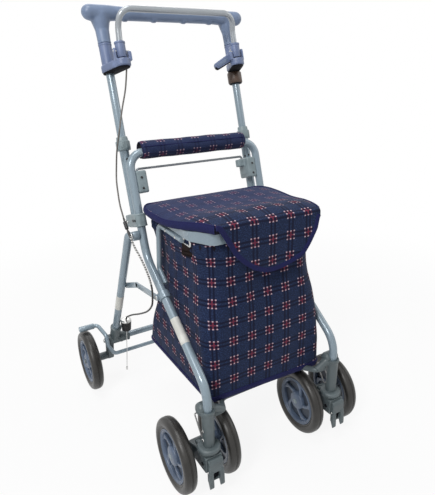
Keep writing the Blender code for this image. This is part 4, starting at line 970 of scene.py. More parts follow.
@both_sides
def make_sockets(label, side):
    """A leg's foot socket: a long sleeve, a saddle behind its mouth and a thick flange over the yoke."""
    x = side * FRAME_X
    upright = Matrix.Translation((x, CASTER_Y, 0))
    shape = Shape()
    shape.turned(
        [(0, 0.1665), (0.0098, 0.1665), (0.0112, 0.1657), (0.0118, 0.1638), (0.0114, 0.1618), (0.0104, 0.1605),
         (0.0101, 0.1005), (0.0105, 0.0992), (0, 0.0992)],
        upright,
    )
    shape.pin(1, (x - 0.015, x + 0.015), (CASTER_Y + 0.009, 0.1672), 0.0112, edge=0.006)
    shape.rod((side * 0.1225, CASTER_Y + 0.006, 0.1635), (side * 0.098, CASTER_Y + 0.006, 0.152), 0.0082, 0, 0.0058)
    shape.melt(0.0012, 4)
    shape.turned(
        [(0.0085, 0.1675), (0.0098, 0.1682), (0.0116, 0.1678), (0.0122, 0.1662), (0.0118, 0.1645), (0.0085, 0.1645)],
        upright, closed=True,
    )
    shape.turned(
        [(0, 0.0998), (0.0155, 0.0998), (0.0178, 0.0992), (0.0193, 0.0975), (0.0196, 0.0955), (0.0193, 0.0925),
         (0.0182, 0.0906), (0.0165, 0.09), (0, 0.09)],
        upright,
    )
    shape.block((x - 0.0135, CASTER_Y + 0.005, 0.0902), (x + 0.0135, CASTER_Y + 0.0245, 0.098), edge=0.0018)
    shape.block((x - 0.0022, CASTER_Y + 0.008, 0.0985), (x + 0.0022, CASTER_Y + 0.0142, 0.1105), edge=0.0006)
    for z in (0.112, 0.13):
        shape.rod((x + side * 0.0092, CASTER_Y, z), (x + side * 0.0112, CASTER_Y, z), 0.0028, 1, edge=0.0006)
    shape.finish(f"caster_socket_{label}", "front_frame", "casting chrome", "green_grey")
    clip = Shape()
    hinge, tip = (CASTER_Y + 0.0117, 0.108), (CASTER_Y + 0.036, 0.138)
    corners = ((-0.0027, hinge), (-0.0062, hinge), (-0.0062, tip), (0.0062, tip), (0.0062, hinge), (0.0027, hinge))
    clip.tube(filleted([(x + step, *place) for step, place in corners], 0.0014), 0.0012, sides=12)
    clip.finish(f"lock_clip_{label}", f"clip_{label}", "wire", "wire")


@both_sides
def make_yokes(label, side):
    """A swivel yoke with its cheeks, boss and axle, and the two-pronged step claw hinged on its front."""
    x = side * FRAME_X
    front, top = CASTER_Y - 0.0173, 0.0878
    axle_y = CASTER_AXLE[0]
    shape = Shape()
    corners = [
        (front, 0.058), (front, top), (CASTER_Y + 0.018, top), (axle_y + 0.0105, AXLE_Z + 0.0095),
        (axle_y + 0.0105, AXLE_Z - 0.01),
    ]
    outline = filleted(corners, [0.004, 0.0015, 0.004, 0.007, 0.008], closed=True)
    shape.plate(outline, (-0.011, 0.011), side_matrix(x), edge=0.0015)
    for low in (-0.0152, 0.0112):
        shape.plate(outline, (low, low + 0.004), side_matrix(x), edge=0.0012)
    boss = ((-0.0138, front + 0.002, 0.0795), (0.0138, CASTER_Y + 0.0165, top))
    shape.block(*boss, Matrix.Translation((x, 0, 0)), edge=0.001)
    shape.rod((x, CASTER_Y, 0.07), (x, CASTER_Y, 0.1), 0.006)
    shape.pin(1, (x - 0.0297, x + 0.0297), CASTER_AXLE, 0.0072, edge=0.001)
    shape.pin(1, (x - 0.0215, x + 0.0215), CASTER_AXLE, 0.0095, edge=0.0015)
    shape.melt(0.0012, 3)
    shape.pin(1, (x - 0.0505, x + 0.0505), CASTER_AXLE, 0.004, 1)
    # Two near-black discs on the cheeks, in the shadow look: painted shade
    for low in (-0.0163, 0.0145):
        shape.pin(1, (x + low, x + low + 0.0018), (CASTER_Y - 0.006, 0.0715), 0.0034, 2, edge=0.0007)
    shape.finish(f"caster_yoke_{label}", f"caster_{label}", "casting chrome dark", "green_grey")
    claw = Shape()
    back = front - 0.0003
    head = ((0, 0.086), (0, 0.0595), (0.0045, 0.0585), (0.0075, 0.0615), (0.0078, 0.08), (0.005, 0.086))
    prong = (
        (0.0004, 0.0655), (0.0004, 0.0475), (0.0036, 0.04), (0.0064, 0.0335), (0.0082, 0.0306), (0.0106, 0.0345),
        (0.0102, 0.0455), (0.0098, 0.0535), (0.0082, 0.0655),
    )
    web = ((0.0002, 0.062), (0.0002, 0.044), (0.0016, 0.044), (0.0022, 0.062))
    head, prong, web = ([(back - depth, z) for depth, z in outline] for outline in (head, prong, web))
    claw.plate(head, (-0.0132, 0.0132), side_matrix(x), edge=0.0012)
    for low in (-0.0138, 0.0058):
        claw.plate(prong, (low, low + 0.008), side_matrix(x), edge=0.0012)
        claw.block((x + low, back - 0.0058, 0.0435), (x + low + 0.008, back - 0.0006, 0.0505), edge=0.001)
    claw.block((x - 0.0085, back - 0.0052, 0.0428), (x + 0.0085, back - 0.0006, 0.0462), edge=0.001)
    claw.melt(0.0009, 2)
    # The plate between the prongs is in the near-black shadow look: painted shade of the recess behind them
    claw.plate(web, (-0.008, 0.008), side_matrix(x), 2)
    claw.pin(1, (x - 0.0144, x + 0.0144), (back - 0.0038, 0.0635), 0.0019, 1)
    claw.finish(f"step_claw_{label}", f"claw_{label}", "casting chrome dark", "green_grey")


def spoke_points():
    """The outline of one curved spoke, wide at both ends and narrow in between."""
    root, tip, steps = 0.0128, 0.0408, 12
    left, right = [], []
    for step in range(steps + 1):
        share = step / steps
        radius = root + (tip - root) * share
        sweep = radians(-16) + radians(34) * share
        width = 0.0052 + 0.0032 * (1 - bump(share, 0, 0.35)) + 0.0075 * bump(share, 0.6, 1)
        for edge, sign in ((left, 1), (right, -1)):
            angle = sweep + sign * (width / radius) * 0.62
            edge.append(Vector((radius * cos(angle), radius * sin(angle))))
    return left + right[::-1]


RIM_PROFILE = (
    (0.0395, 0.0048), (0.0404, 0.0078), (0.0414, 0.0092), (0.0428, 0.0098), (0.0432, 0.0091), (0.0446, 0.0091),
    (0.045, 0.0098), (0.0463, 0.0095), (0.0467, 0.0085), (0.0467, -0.0085), (0.0455, -0.0096), (0.0412, -0.0092),
    (0.0402, -0.006), (0.0395, -0.0015),
)
CAP_PROFILE = (
    (0, 0.0112), (0.006, 0.0111), (0.012, 0.0104), (0.0158, 0.0092), (0.0172, 0.0078), (0.0178, 0.0062),
    (0.0178, 0.0012), (0.0172, -0.001), (0.0112, -0.003), (0.0112, -0.011), (0, -0.011),
)
NUT_PROFILE = ((0, 0.0121), (0.0034, 0.012), (0.005, 0.0115), (0.0053, 0.0105), (0, 0.0105))
WEB_PROFILE = ((0.011, 0.0009), (0.0405, 0.0009), (0.0405, -0.0009), (0.011, -0.0009))
# Half of a tyre: its side wall, then the groove beside the middle of the tread
TYRE_PROFILE = (
    (0.0469, 0.0086), (0.0488, 0.0104), (0.0498, 0.0106), (0.0503, 0.0101), (0.0508, 0.011), (0.053, 0.0121),
    (0.0563, 0.0125), (0.0592, 0.0121), (0.0616, 0.0107), (0.0634, 0.0085), (0.0645, 0.0058), (0.065, 0.0034),
    (0.065, 0.0017), (0.0644, 0.0013), (0.0644, 0.0007), (0.065, 0.0003),
)
WHEEL_NARROWING = 0.9


def make_wheels():
    """Hubs with a big cap and curved spokes over a backing disc darkened as painted shade; glossy tyres with two
    grooves.
    """
    spoke = Shape()
    spoke.plate(spoke_points(), (0.0008, 0.0062), Matrix(), edge=0.0012)
    bmesh.ops.remove_doubles(spoke.mesh, verts=spoke.mesh.verts, dist=WELD)
    spoke.mesh.verts.index_update()
    points = [vertex.co.copy() for vertex in spoke.mesh.verts]
    faces = [[vertex.index for vertex in face.verts] for face in spoke.mesh.faces]
    spoke.mesh.free()
    ring = grown(points, faces, ring_tree(), Count=bpy.context.scene.rollator_sizes.spokes, Material=look("hub"))
    for body, name, centre, outward in wheel_places():
        matrix = aimed(centre, (outward, 0, 0)) @ Matrix.Diagonal((1, 1, WHEEL_NARROWING, 1))
        hub = Shape()
        hub.take(ring, matrix)
        hub.take(ring, matrix @ Matrix.Rotation(pi, 4, "X"))
        # The backing disc behind the spokes, darkened as painted shade
        hub.turned(WEB_PROFILE, matrix, 2, closed=True, steps=64)
        hub.turned(RIM_PROFILE, matrix, closed=True, steps=72)
        hub.turned(CAP_PROFILE, matrix, steps=48)
        hub.turned(NUT_PROFILE, matrix, 1, steps=24)
        hub.finish(f"{name}_hub", body, "hub fitting web", "hub")
        tyre = Shape()
        tyre.turned([*TYRE_PROFILE, *((r, -h) for r, h in TYRE_PROFILE[::-1])], matrix, closed=True, steps=96)
        tyre.finish(f"{name}_tyre", body, "tyre", "tread")


def wheel_places():
    """Each wheel's body, name, centre and the way its outer face looks."""
    for label, side in SIDES.items():
        for position, step in (("outer", 1), ("inner", -1)):
            centre = (side * (FRAME_X + step * FRONT_WHEEL_STEP), *CASTER_AXLE)
            yield f"front_wheel_{label}_{position}", f"front_{label}_{position}", centre, side * step
        yield f"rear_wheel_{label}", f"rear_{label}", (side * REAR_WHEEL_X, *REAR_AXLE), side


# Handle and brake


def make_grip():
    """The moulded grip: rounded ends, a slimmer middle with finger ridges, and stems that flare into it."""
    y, z = GRIP_CENTRE
    half_length, end_round, thick, thin, steps = 0.16, 0.0135, 0.0134, 0.0016, 60
    shape = Shape()
    path, widths = [], []
    for step in range(-steps, steps + 1):
        x = half_length * sin(step / steps * pi / 2)
        end = half_length - abs(x)
        width = (1 - (1 - min(end / end_round, 1)) ** 2) ** 0.5 * (thick - thin * bump(end, 0.04, 0.075))
        path.append((x, y, z))
        widths.append(max(width, 0.001))
    shape.tube(path, 1.0, sides=32, widths=widths)
    for ridge in (-0.085, -0.03, 0.03, 0.085):
        shape.pin(1, (ridge - 0.004, ridge + 0.004), (y - 0.003, z - 0.0068), 0.0068)
    for side in SIDES.values():
        shape.stem(side * POST_X, POST_ACROSS, (GRIP_FOOT, 0.387), 0.0112, end_radius=0.0128)
        shape.stem(side * POST_X, POST_ACROSS, (0.362, 0.3895), 0.0116, end_radius=0.0185)
    shape.melt(0.0013, 12)
    for side in SIDES.values():
        shape.stem(side * POST_X, POST_ACROSS, (GRIP_FOOT, 0.3445), 0.0116, edge=0.0012)
    shape.finish("handle_grip", "handle", "grip", "grip")


@both_sides
def make_housings(label, side):
    """A brake housing: a sleeve on the post, an oval foot with painted shade under it, and ears for the bar."""
    x, post, bar = side * POST_X, (POST_X, POST_ACROSS), (BAR_X, BAR_ACROSS)
    shape = Shape()
    foot = sided(disc_hull(post, 0.0135, bar, 0.0135, 16), side)
    shape.plate(foot, (0.2905, 0.3035), lean_matrix(), edge=0.0022)
    shape.stem(x, POST_ACROSS, (0.3, HOUSING_TOP), 0.0112, edge=0.001)
    columns = Matrix((BACK, UP, Vector((1, 0, 0)))).transposed().to_4x4()
    for near, far, high in ((0.0985, 0.104, 0.3165), (0.1256, 0.1283, 0.3218)):
        ear = [(-0.016, 0.3), (-0.004, 0.3), (-0.004, high), (-0.016, high)]
        outline = filleted(ear, [0, 0, 0.004, 0.004], closed=True)
        shape.plate(outline, (side * near, side * far), Matrix.Translation(lean(0, 0)) @ columns)
    shape.melt(0.0009, 3)
    shape.stem(x, POST_ACROSS, (0.3362, HOUSING_TOP), 0.0117, edge=0.0012)
    # A near-black plate under the foot, in the shadow look: painted shade
    under = sided(disc_hull(post, 0.0118, bar, 0.0112, 16), side)
    shape.plate(under, (0.2885, 0.2915), lean_matrix(), 1)
    if side > 0:
        screw = lean(x - 0.004, 0.329, POST_ACROSS) - BACK * 0.0098
        shape.rod(screw, screw - BACK * 0.0022, 0.0034, 2, edge=0.0009)
    shape.finish(f"brake_housing_{label}", "handle", "housing dark chrome", "housing")


def make_collar_and_lever():
    """The brown rubber collar under the right housing, and the parking lever on it."""
    collar = Shape()
    place, bore, top = aimed(lean(POST_X, 0.2655, POST_ACROSS), UP), 0.0076, 0.0215
    collar.turned(
        [(bore, 0), (0.0132, 0), (0.0143, 0.0016), (0.01445, 0.009), (0.0143, 0.0198), (0.0134, top), (bore, top)],
        place, closed=True,
    )
    # A near-black ring at the collar's lower edge, in the shadow look: painted shade
    collar.turned([(bore, -0.0008), (0.0128, -0.0008), (0.0128, 0.0008), (bore, 0.0008)], place, 1, closed=True)
    collar.finish("rubber_collar", "handle", "brown dark", "brown_rubber")
    lever = Shape()
    turn = Matrix(((1, 0, 0), (0, 0, 1), (0, -1, 0))).to_4x4().inverted()
    matrix = lean_matrix(LEVER_X, LEVER_ALONG, -0.004) @ turn
    for root, root_radius, tip, tip_radius, half, finish, edge in (
        ((0.001, 0.0105), 0.0074, (-0.0325, -0.0065), 0.006, 0.0042, 0, 0.0018),
        ((-0.012, 0.004), 0.0032, (-0.0305, -0.0055), 0.0028, 0.0046, 2, 0.0003),
        # The lowest plate, in the near-black shadow look, is painted shade along the lever's underside
        ((0.001, 0.0095), 0.0074, (-0.0318, -0.0082), 0.0058, 0.0036, 3, 0.0006),
    ):
        lever.plate(disc_hull(root, root_radius, tip, tip_radius), (-half, half), matrix, finish, edge)
    lever.rod(*(lean(LEVER_X, LEVER_ALONG, across) for across in (-0.0108, 0.0028)), 0.0015, 1)
    lever.finish("parking_lever", "parking_lever", "housing chrome grip dark", "housing")


def make_brake_bar():
    """The squeeze bar, a little thicker along its top run, and its sleeve-like knuckles."""
    shape = Shape()
    half = [lean(BAR_X, 0.3228, BAR_ACROSS), lean(0.1131, 0.356, -0.0123), (0.11, 0.047, 0.7668)]
    path = both_halves(half, [0, 0.03, 0.022])
    widths = [1.04 + 0.16 * bump(0.1 - abs(point.x), 0, 0.02) for point in path]
    shape.tube(path, 0.005, widths=widths)
    for side in SIDES.values():
        hub = lean(side * BAR_X, 0.3168, BAR_ACROSS)
        top = lean(side * BAR_X, 0.332, -0.0099)
        shape.rod(lean(side * BAR_X, 0.3055, BAR_ACROSS), top, 0.0088, 1, edge=0.0012)
        shape.rod(top - UP * 0.0035, top, 0.0094, 1, edge=0.0006)
        # A near-black ring under each knuckle, in the shadow look: painted shade in the gap above the housing
        shape.stem(side * BAR_X, BAR_ACROSS, (0.304, 0.3066), 0.0082, 3)
        shape.rod(hub - Vector((0.014, 0, 0)), hub + Vector((0.014, 0, 0)), 0.002, 2)
    shape.finish("brake_bar", "brake_bar", "bar housing chrome dark", "bar")


CABLE_ROUTE = (
    (-0.1105, 0.0357, 0.6705), (-0.113, 0.0371, 0.6495), (-0.117, 0.0351, 0.633), (-0.127, 0.0298, 0.6036),
    (-0.140, 0.0137, 0.5721), (-0.147, 0.016, 0.538), (-0.150, 0.018, 0.511), (-0.155, 0.010, 0.486),
    (-0.158, -0.001, 0.466), (-0.160, -0.012, 0.447), (-0.1615, -0.027, 0.432), (-0.162, -0.041, 0.416),
    (-0.162, -0.058, 0.402), (-0.161, -0.074, 0.387), (-0.157, -0.090, 0.370), (-0.153, -0.106, 0.346),
    (-0.1505, -0.112, 0.325), (-0.150, -0.111, 0.305), (-0.1495, -0.103, 0.285), (-0.148, -0.074, 0.260),
    (-0.145, -0.023, 0.230), (-0.142, 0.030, 0.202), (-0.1405, 0.061, 0.184), (-0.140, 0.080, 0.172),
    (-0.140, 0.0878, 0.1625),
)
CLIP_HEIGHT = 0.43


def make_cable():
    """The cable's two halves, split at the clip's height."""
    route = smooth_route(CABLE_ROUTE, 8)
    split = next(index for index, point in enumerate(route) if point.z < CLIP_HEIGHT)
    coil = [0.00145 + 0.00035 * (index % 2) for index in range(len(route) - split)]
    upper, lower = Shape(), Shape()
    upper.tube(route[: split + 1], 0.0014, sides=12)
    lower.tube(route[split:], 1.0, sides=12, widths=coil)
    for first, last, size in ((3, 9, 0.0032), (10, 15, 0.0022)):
        lower.tube(route[split + first : split + last], size, 1, sides=12)
    first = upper.finish("brake_cable", None, "cable", "black_plastic", "brake_cable_upper")
    second = lower.finish("brake_cable", None, "coil black", "black_plastic", "brake_cable_lower")
    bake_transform(first)
    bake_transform(second)


def make_adjuster():
    """The barrel adjuster on its tab: a ribbed rubber boot, the wire out of it and the crimp on its end."""
    adjuster = Shape()
    boot = aimed((-0.14, 0.0905, 0.136), (0, -0.0025, 0.027)) @ Matrix.Diagonal((1.25, 1.25, 1, 1))
    adjuster.turned(
        [(0, 0.0305), (0.0024, 0.0305), (0.0028, 0.028), (0.0062, 0.0278), (0.0088, 0.0262), (0.0092, 0.0235),
         (0.0086, 0.0222), (0, 0.0222)],
        boot, 1,
    )
    ribs = [(0, 0), (0.0055, 0), (0.007, 0.0008)]
    for step in range(6):
        for radius, height in ((0.0078, 0.0018), (0.0078, 0.0038), (0.0066, 0.0043), (0.0066, 0.0049)):
            ribs.append((radius + step * 0.0002, height + step * 0.0034))
    adjuster.turned([*ribs, (0, 0.0225)], boot)
    adjuster.block((-0.1503, 0.084, 0.1575), (-0.138, 0.098, 0.16), finish=2)
    adjuster.tube([(-0.14, 0.0902, 0.137), (-0.1432, 0.0932, 0.078), (-0.1458, 0.0968, 0.036)], 0.0008, 1, sides=8)
    adjuster.rod((-0.1455, 0.0964, 0.0405), (-0.1461, 0.0972, 0.0315), 0.0018, 1, steps=12)
    adjuster.finish("cable_adjuster", "rear_frame", "black chrome paint", "black_plastic")


# Seat, bag and roll


@both_sides
def make_brackets(label, side):
    """A bent bracket under the seat's rim, and the bag's strap on its ring."""
    x, top = side * 0.1191, 0.424
    bracket = Shape()
    corners = [(x, -0.099, 0.3185), (x, -0.0735, 0.337), (x, -0.0835, top), (x, -0.176, top)]
    bracket.tube(filleted(corners, [0, 0.009, 0.016, 0]), 0.0045, sides=20)
    for y in (-0.12, -0.158):
        bracket.rod((x, y, top), (x + side * 0.0052, y, top), 0.0026, 1, edge=0.0009)
    bracket.finish(f"seat_bracket_{label}", "front_frame", "paint chrome", "frame_paint")
    strap = Shape()
    turned = Matrix.Translation((side * 0.1108, -0.181, 0)) @ Matrix.Rotation(side * radians(-28), 4, "Z")
    strap.block((-0.0012, -0.0115, 0.3975), (side * 0.0026, 0.0115, 0.417), turned)
    strap.block((side * 0.0026, -0.0112, 0.4), (side * 0.0034, 0.0112, 0.4055), turned, edge=0.0003)
    ring = box_outline((-0.1955, 0.418), (-0.1685, 0.4285), [0.003, 0.003, 0.005, 0.005])
    ring = [Vector((side * 0.1145, y, z)) for y, z in ring]
    strap.tube(ring + [ring[0]], 0.0017, 1, sides=12)
    strap.pin(side, (0.1115, 0.1185), (-0.1745, 0.4275), 0.0048, 1, edge=0.002)
    strap.finish(f"bag_strap_{label}", "front_frame", "tab chrome", "brown_rubber")


def make_crossbar():
    """The cross tube under the bag, between the two caster sockets."""
    cross = Shape()
    end = (CASTER_Y + 0.006, 0.1505)
    cross.tube(both_halves([(0.1185, *end), (0.1, *end), (0.085, -0.226, 0.1428)], [0, 0.012, 0.02]), 0.0052)
    cross.finish("front_crossbar", "front_frame", "casting", "frame_paint")


def make_rim():
    """The open ring that the lid rests on, its top following the lid's underside."""
    rim = Shape()
    outer = filleted(
        [(-0.119, -0.05), (-0.119, -0.198), (-0.097, -0.238), (0.097, -0.238), (0.119, -0.198), (0.119, -0.05)],
        0.012, closed=True,
    )
    inner = filleted([(-0.098, -0.067), (-0.098, -0.221), (0.098, -0.221), (0.098, -0.067)], 0.02, closed=True)
    rows, count = [], 96
    for share, z, lift in (
        (0, 0.4293, 0), (0, 0.4363, 1), (0.06, RIM_TOP, 1), (1, RIM_TOP, 1), (1, 0.4288, 0), (0.06, 0.4288, 0),
    ):
        row = [ring_point(outer, i / count, z).lerp(ring_point(inner, i / count, z), share) for i in range(count + 1)]
        rows.append([point + Vector((0, 0, lift * (lid_base(point.y) - RIM_TOP - 0.0006))) for point in row])
    rim.skin(rows + [rows[0]], caps=False)
    rim.finish("seat_rim", "front_frame", "paint", "green_grey")


def ring_point(outline, share, z):
    """The point of a closed outline in the direction of that share of a turn from the rim's middle."""
    middle = Vector((0, -0.144))
    angle = 2 * pi * share
    ray = Vector((cos(angle), sin(angle)))
    best = 0.0
    for index, point in enumerate(outline):
        first, second = point.to_2d() - middle, outline[(index + 1) % len(outline)].to_2d() - middle
        edge = second - first
        cross = ray.x * edge.y - ray.y * edge.x
        if abs(cross) < 1e-12:
            continue
        along = (first.x * edge.y - first.y * edge.x) / cross
        on_edge = (first.x * ray.y - first.y * ray.x) / cross
        if along > 0 and -1e-6 <= on_edge <= 1 + 1e-6:
            best = max(best, along)
    spot = middle + ray * best
    return Vector((spot.x, spot.y, z))


BAG_TOP, BAG_FRONT, BAG_DEPTH, BAG_COLUMNS, BAG_ROWS = 0.4283, -0.2385, 0.26, 200, 56
# Share of the height, rear place, half width and front corner radius
BAG_LEVELS = (
    (0.0, 0.021, 0.1135, 0.010), (0.2, -0.004, 0.1135, 0.015), (0.45, -0.036, 0.1125, 0.028),
    (0.67, -0.044, 0.1115, 0.041), (0.85, -0.034, 0.1115, 0.046), (0.93, -0.017, 0.1125, 0.048),
    (1.0, -0.0335, 0.1115, 0.046),
)
# The hem tape's section: share of the bag's height, and depth into its wall
HEM_SECTION = (
    (0, 0.0006), (0, -0.001), (0.012, -0.0015), (0.024, -0.0015), (0.037, -0.0014), (0.041, -0.001), (0.042, 0.0006),
)


def bag_section(share):
    """A level outline of the bag, evenly spaced from the rear seam round to it again, and its length."""
    for first, second in zip(BAG_LEVELS, BAG_LEVELS[1:]):
        if share <= second[0]:
            break
    mix = (share - first[0]) / (second[0] - first[0])
    rear, half, corner = (a + (b - a) * mix for a, b in zip(first[1:], second[1:]))
    front = BAG_FRONT + 0.003 * share
    corners = [(0, rear), (half, rear), (half, front), (-half, front), (-half, rear)]
    path = filleted(corners, [0, 0.012, corner, corner, 0.012], closed=True)
    path.append(path[0])
    reach = [0.0]
    for before, after in zip(path, path[1:]):
        reach.append(reach[-1] + (after - before).length)
    spots, index = [], 0
    for column in range(BAG_COLUMNS + 1):
        target = reach[-1] * column / BAG_COLUMNS
        while index < len(path) - 2 and reach[index + 1] < target:
            index += 1
        span = max(reach[index + 1] - reach[index], WELD)
        spots.append(path[index].lerp(path[index + 1], (target - reach[index]) / span))
    return spots, reach[-1]


def bag_row(share, inset=0.0):
    """One level of the bag's wall, sagging and creased, with its cloth places."""
    spots, length = bag_section(share)
    row, places = [], []
    for column, spot in enumerate(spots):
        before, after = spots[column - 1 if column else -2], spots[column + 1 if column < BAG_COLUMNS else 1]
        outward = Vector(((before - after).y, -(before - after).x)).normalized()
        deep = (spot.y - BAG_FRONT) / BAG_DEPTH
        droop = max(0.0045 * (spot.x / 0.113 + 1) * (1 - deep), 0)
        floor = 0.1505 - 0.0085 * deep - droop
        z = floor + (BAG_TOP - floor) * share
        wave = noise.noise(Vector((spot.x * 13, spot.y * 13, z * 6))) * 0.0055 * bump(share, 0.03, 0.3)
        crease = noise.noise(Vector((spot.x * 42, spot.y * 42, z * 11 + 4))) * 0.0022 * bump(share, 0.05, 0.4)
        gather = sin(length * column / BAG_COLUMNS * 260 + 2 * sin(z * 30)) * 0.0016 * bump(share, 0.7, 1)
        tuck = -0.0045 * bump(share, 0.55, 0.78) * (1 - bump(share, 0.82, 0.97) * 0.5)
        swell = 0.0025 * sin(pi * min(share * 1.5, 1)) - 0.002 * (1 - bump(share, 0, 0.03))
        push = wave + crease + gather + tuck + swell - inset
        wide = 1 + 0.02 + 0.07 * (1 - share) ** 2 if spot.x > 0 else 1
        row.append(Vector(((spot.x + outward.x * push) * wide, spot.y + outward.y * push, z)))
        around = length * (column / BAG_COLUMNS - 0.5)
        places.append((around + 0.004, (z - 0.148) * (0.92 + 0.22 * (z - 0.148))))
    return row, places


def make_bag():
    """The bag's shell: a lofted wall that sags, its dark inside, the bound hem and its stitching."""
    shape = Shape()
    rows, cloth = zip(*(bag_row(level / BAG_ROWS) for level in range(BAG_ROWS + 1)))
    inner, _ = zip(*(bag_row(max(level / BAG_ROWS, 0.012), 0.0018) for level in range(BAG_ROWS, -1, -4)))
    nowhere = [[(0, 0)] * (BAG_COLUMNS + 1)] * (len(inner) + 1)
    shape.skin(rows, 0, cloth, caps=False)
    shape.skin([rows[-1], *inner], 2, nowhere, caps=False)
    shape.put(rows[0][:-1], [tuple(range(BAG_COLUMNS))[::-1]], 1)
    shape.put(inner[-1][:-1], [tuple(range(BAG_COLUMNS))], 2)
    shape.skin([bag_row(share, inset)[0] for share, inset in HEM_SECTION], 1, caps=False)
    shape.finish("bag", "front_frame", "plaid binding lining", "plaid", "bag_shell")
    line = bag_row(0.034, -0.0019)[0][:-1]
    stitch = bpy.context.scene.rollator_sizes.stitch
    thread = grown(
        line, [], stitch_tree(), edges=[(i, (i + 1) % len(line)) for i in range(len(line))],
        Spacing=stitch * 1.5, Length=stitch, Material=look("thread"),
    )
    seam = Shape()
    seam.take(thread)
    seam.finish(None, "front_frame", "thread", "plaid", "bag_stitching")


# The lid's plan, as places from back to front and the half widths there, and the flap's lower edge
LID_HALF = (
    (-0.0335, 0.117), (-0.040, 0.124), (-0.050, 0.1295), (-0.065, 0.1325), (-0.09, 0.1335), (-0.12, 0.132),
    (-0.15, 0.128), (-0.18, 0.1215), (-0.21, 0.112), (-0.235, 0.1035), (-0.2515, 0.098),
)
FLAP_OUTLINE = (
    (-0.0985, 0.462), (-0.0945, 0.4565), (-0.0887, 0.4475), (-0.079, 0.431), (-0.0689, 0.4126), (-0.053, 0.396),
    (-0.0344, 0.3827), (-0.015, 0.3742), (0.0024, 0.3718), (0.018, 0.3728), (0.031, 0.3755), (0.048, 0.3818),
    (0.0625, 0.3897), (0.0742, 0.4063), (0.0881, 0.4288), (0.0925, 0.446), (0.0985, 0.4592),
)
LID_FOLD, LID_DEPTH = -0.2475, 0.214


def lid_half(y):
    for (y_a, half_a), (y_b, half_b) in zip(LID_HALF, LID_HALF[1:]):
        if y >= y_b:
            return half_a + (half_b - half_a) * (y_a - y) / (y_a - y_b)
    return LID_HALF[-1][1]


def lid_base(y):
    """Height of the lid's underside: flat behind, lifting to the front."""
    return RIM_TOP + 0.0003 + 0.0135 * bump(-y, 0.12, 0.25)


def lid_top(x, y):
    """Height of the padded top over a place of the lid's plan."""
    across = min(abs(x) / lid_half(y), 1)
    deep = min(max((y - LID_FOLD) / LID_DEPTH, 0), 1)
    crown = (1 - across**6) * (1 - abs(2 * deep - 1) ** 6)
    side = 0.0098 + 0.0017 * bump(-y, 0.12, 0.25) - 0.0016 * x / 0.1 * (1 - deep)
    pillow = noise.noise(Vector((x * 22, y * 22, 0.3))) * 0.0016
    crease = 0.0014 * sin(x * 95 + y * 30) * bump(1 - deep, 0.6, 1) * (1 - across**4)
    return lid_base(y) + side + 0.0092 * crown + (pillow + crease) * (0.3 + 0.7 * crown)


def flap_edge(x):
    """Lowest point of the flap at a distance from its middle."""
    for (x_a, z_a), (x_b, z_b) in zip(FLAP_OUTLINE, FLAP_OUTLINE[1:]):
        if x <= x_b:
            return z_a + (z_b - z_a) * (x - x_a) / (x_b - x_a)
    return FLAP_OUTLINE[-1][1]


def make_lid():
    """The padded lid: crowned plaid top, bound sides, underside, and the flap that the front rolls into."""
    shape = Shape()
    columns, lines = 60, 48
    top, cloth = [], []
    for a in range(lines + 1):
        y = LID_FOLD + LID_DEPTH * a / lines
        row, places = [], []
        for b in range(columns + 1):
            x = lid_half(y) * sin((-1 + 2 * b / columns) * pi / 2)
            x -= 0.05 * max(x, 0)
            row.append(Vector((x, y, lid_top(x, y))))
            places.append((x, y - LID_FOLD + 0.002))
        top.append(row)
        cloth.append(places)
    shape.skin(top, 0, cloth, caps=False)
    add_lid_sides(shape, top)
    add_flap(shape, [point.x for point in top[0]])
    obj = shape.finish("lid", "lid", "lid binding lining", "plaid", "lid_cover", sharp=60)


def add_lid_sides(shape, top):
    """The bound sides, the lining at the front, the underside and the piping round the top's edge."""
    around = [row[0] for row in top] + top[-1][1:-1] + [row[-1] for row in top[::-1]]
    front = top[0][::-1]
    middle = Vector((0, -0.1425, 0))
    rings = {1: [], 2: []}
    for drop, out in ((0.0, 0.0), (0.02, 0.0014), (0.2, 0.0026), (0.55, 0.003), (0.9, 0.0018), (1.0, 0.0)):
        for finish, run in ((1, around), (2, front)):
            ring = []
            for index, point in enumerate(run):
                outward = (Vector((point.x, point.y, 0)) - middle).normalized()
                share = out if finish == 1 or index in (0, len(run) - 1) else 0.0
                z = point.z + (lid_base(point.y) - point.z) * drop
                ring.append(Vector((point.x, point.y, z)) + outward * share)
            rings[finish].append(ring)
    for finish, rows in rings.items():
        shape.skin(rows, finish, caps=False)
    low = [*rings[1][-1], *rings[2][-1][1:-1]]
    shape.put(low, [tuple(range(len(low)))], 2)
    shape.tube([point + Vector((0, 0, 0.0003)) for point in around], 0.0016, 1, sides=10)


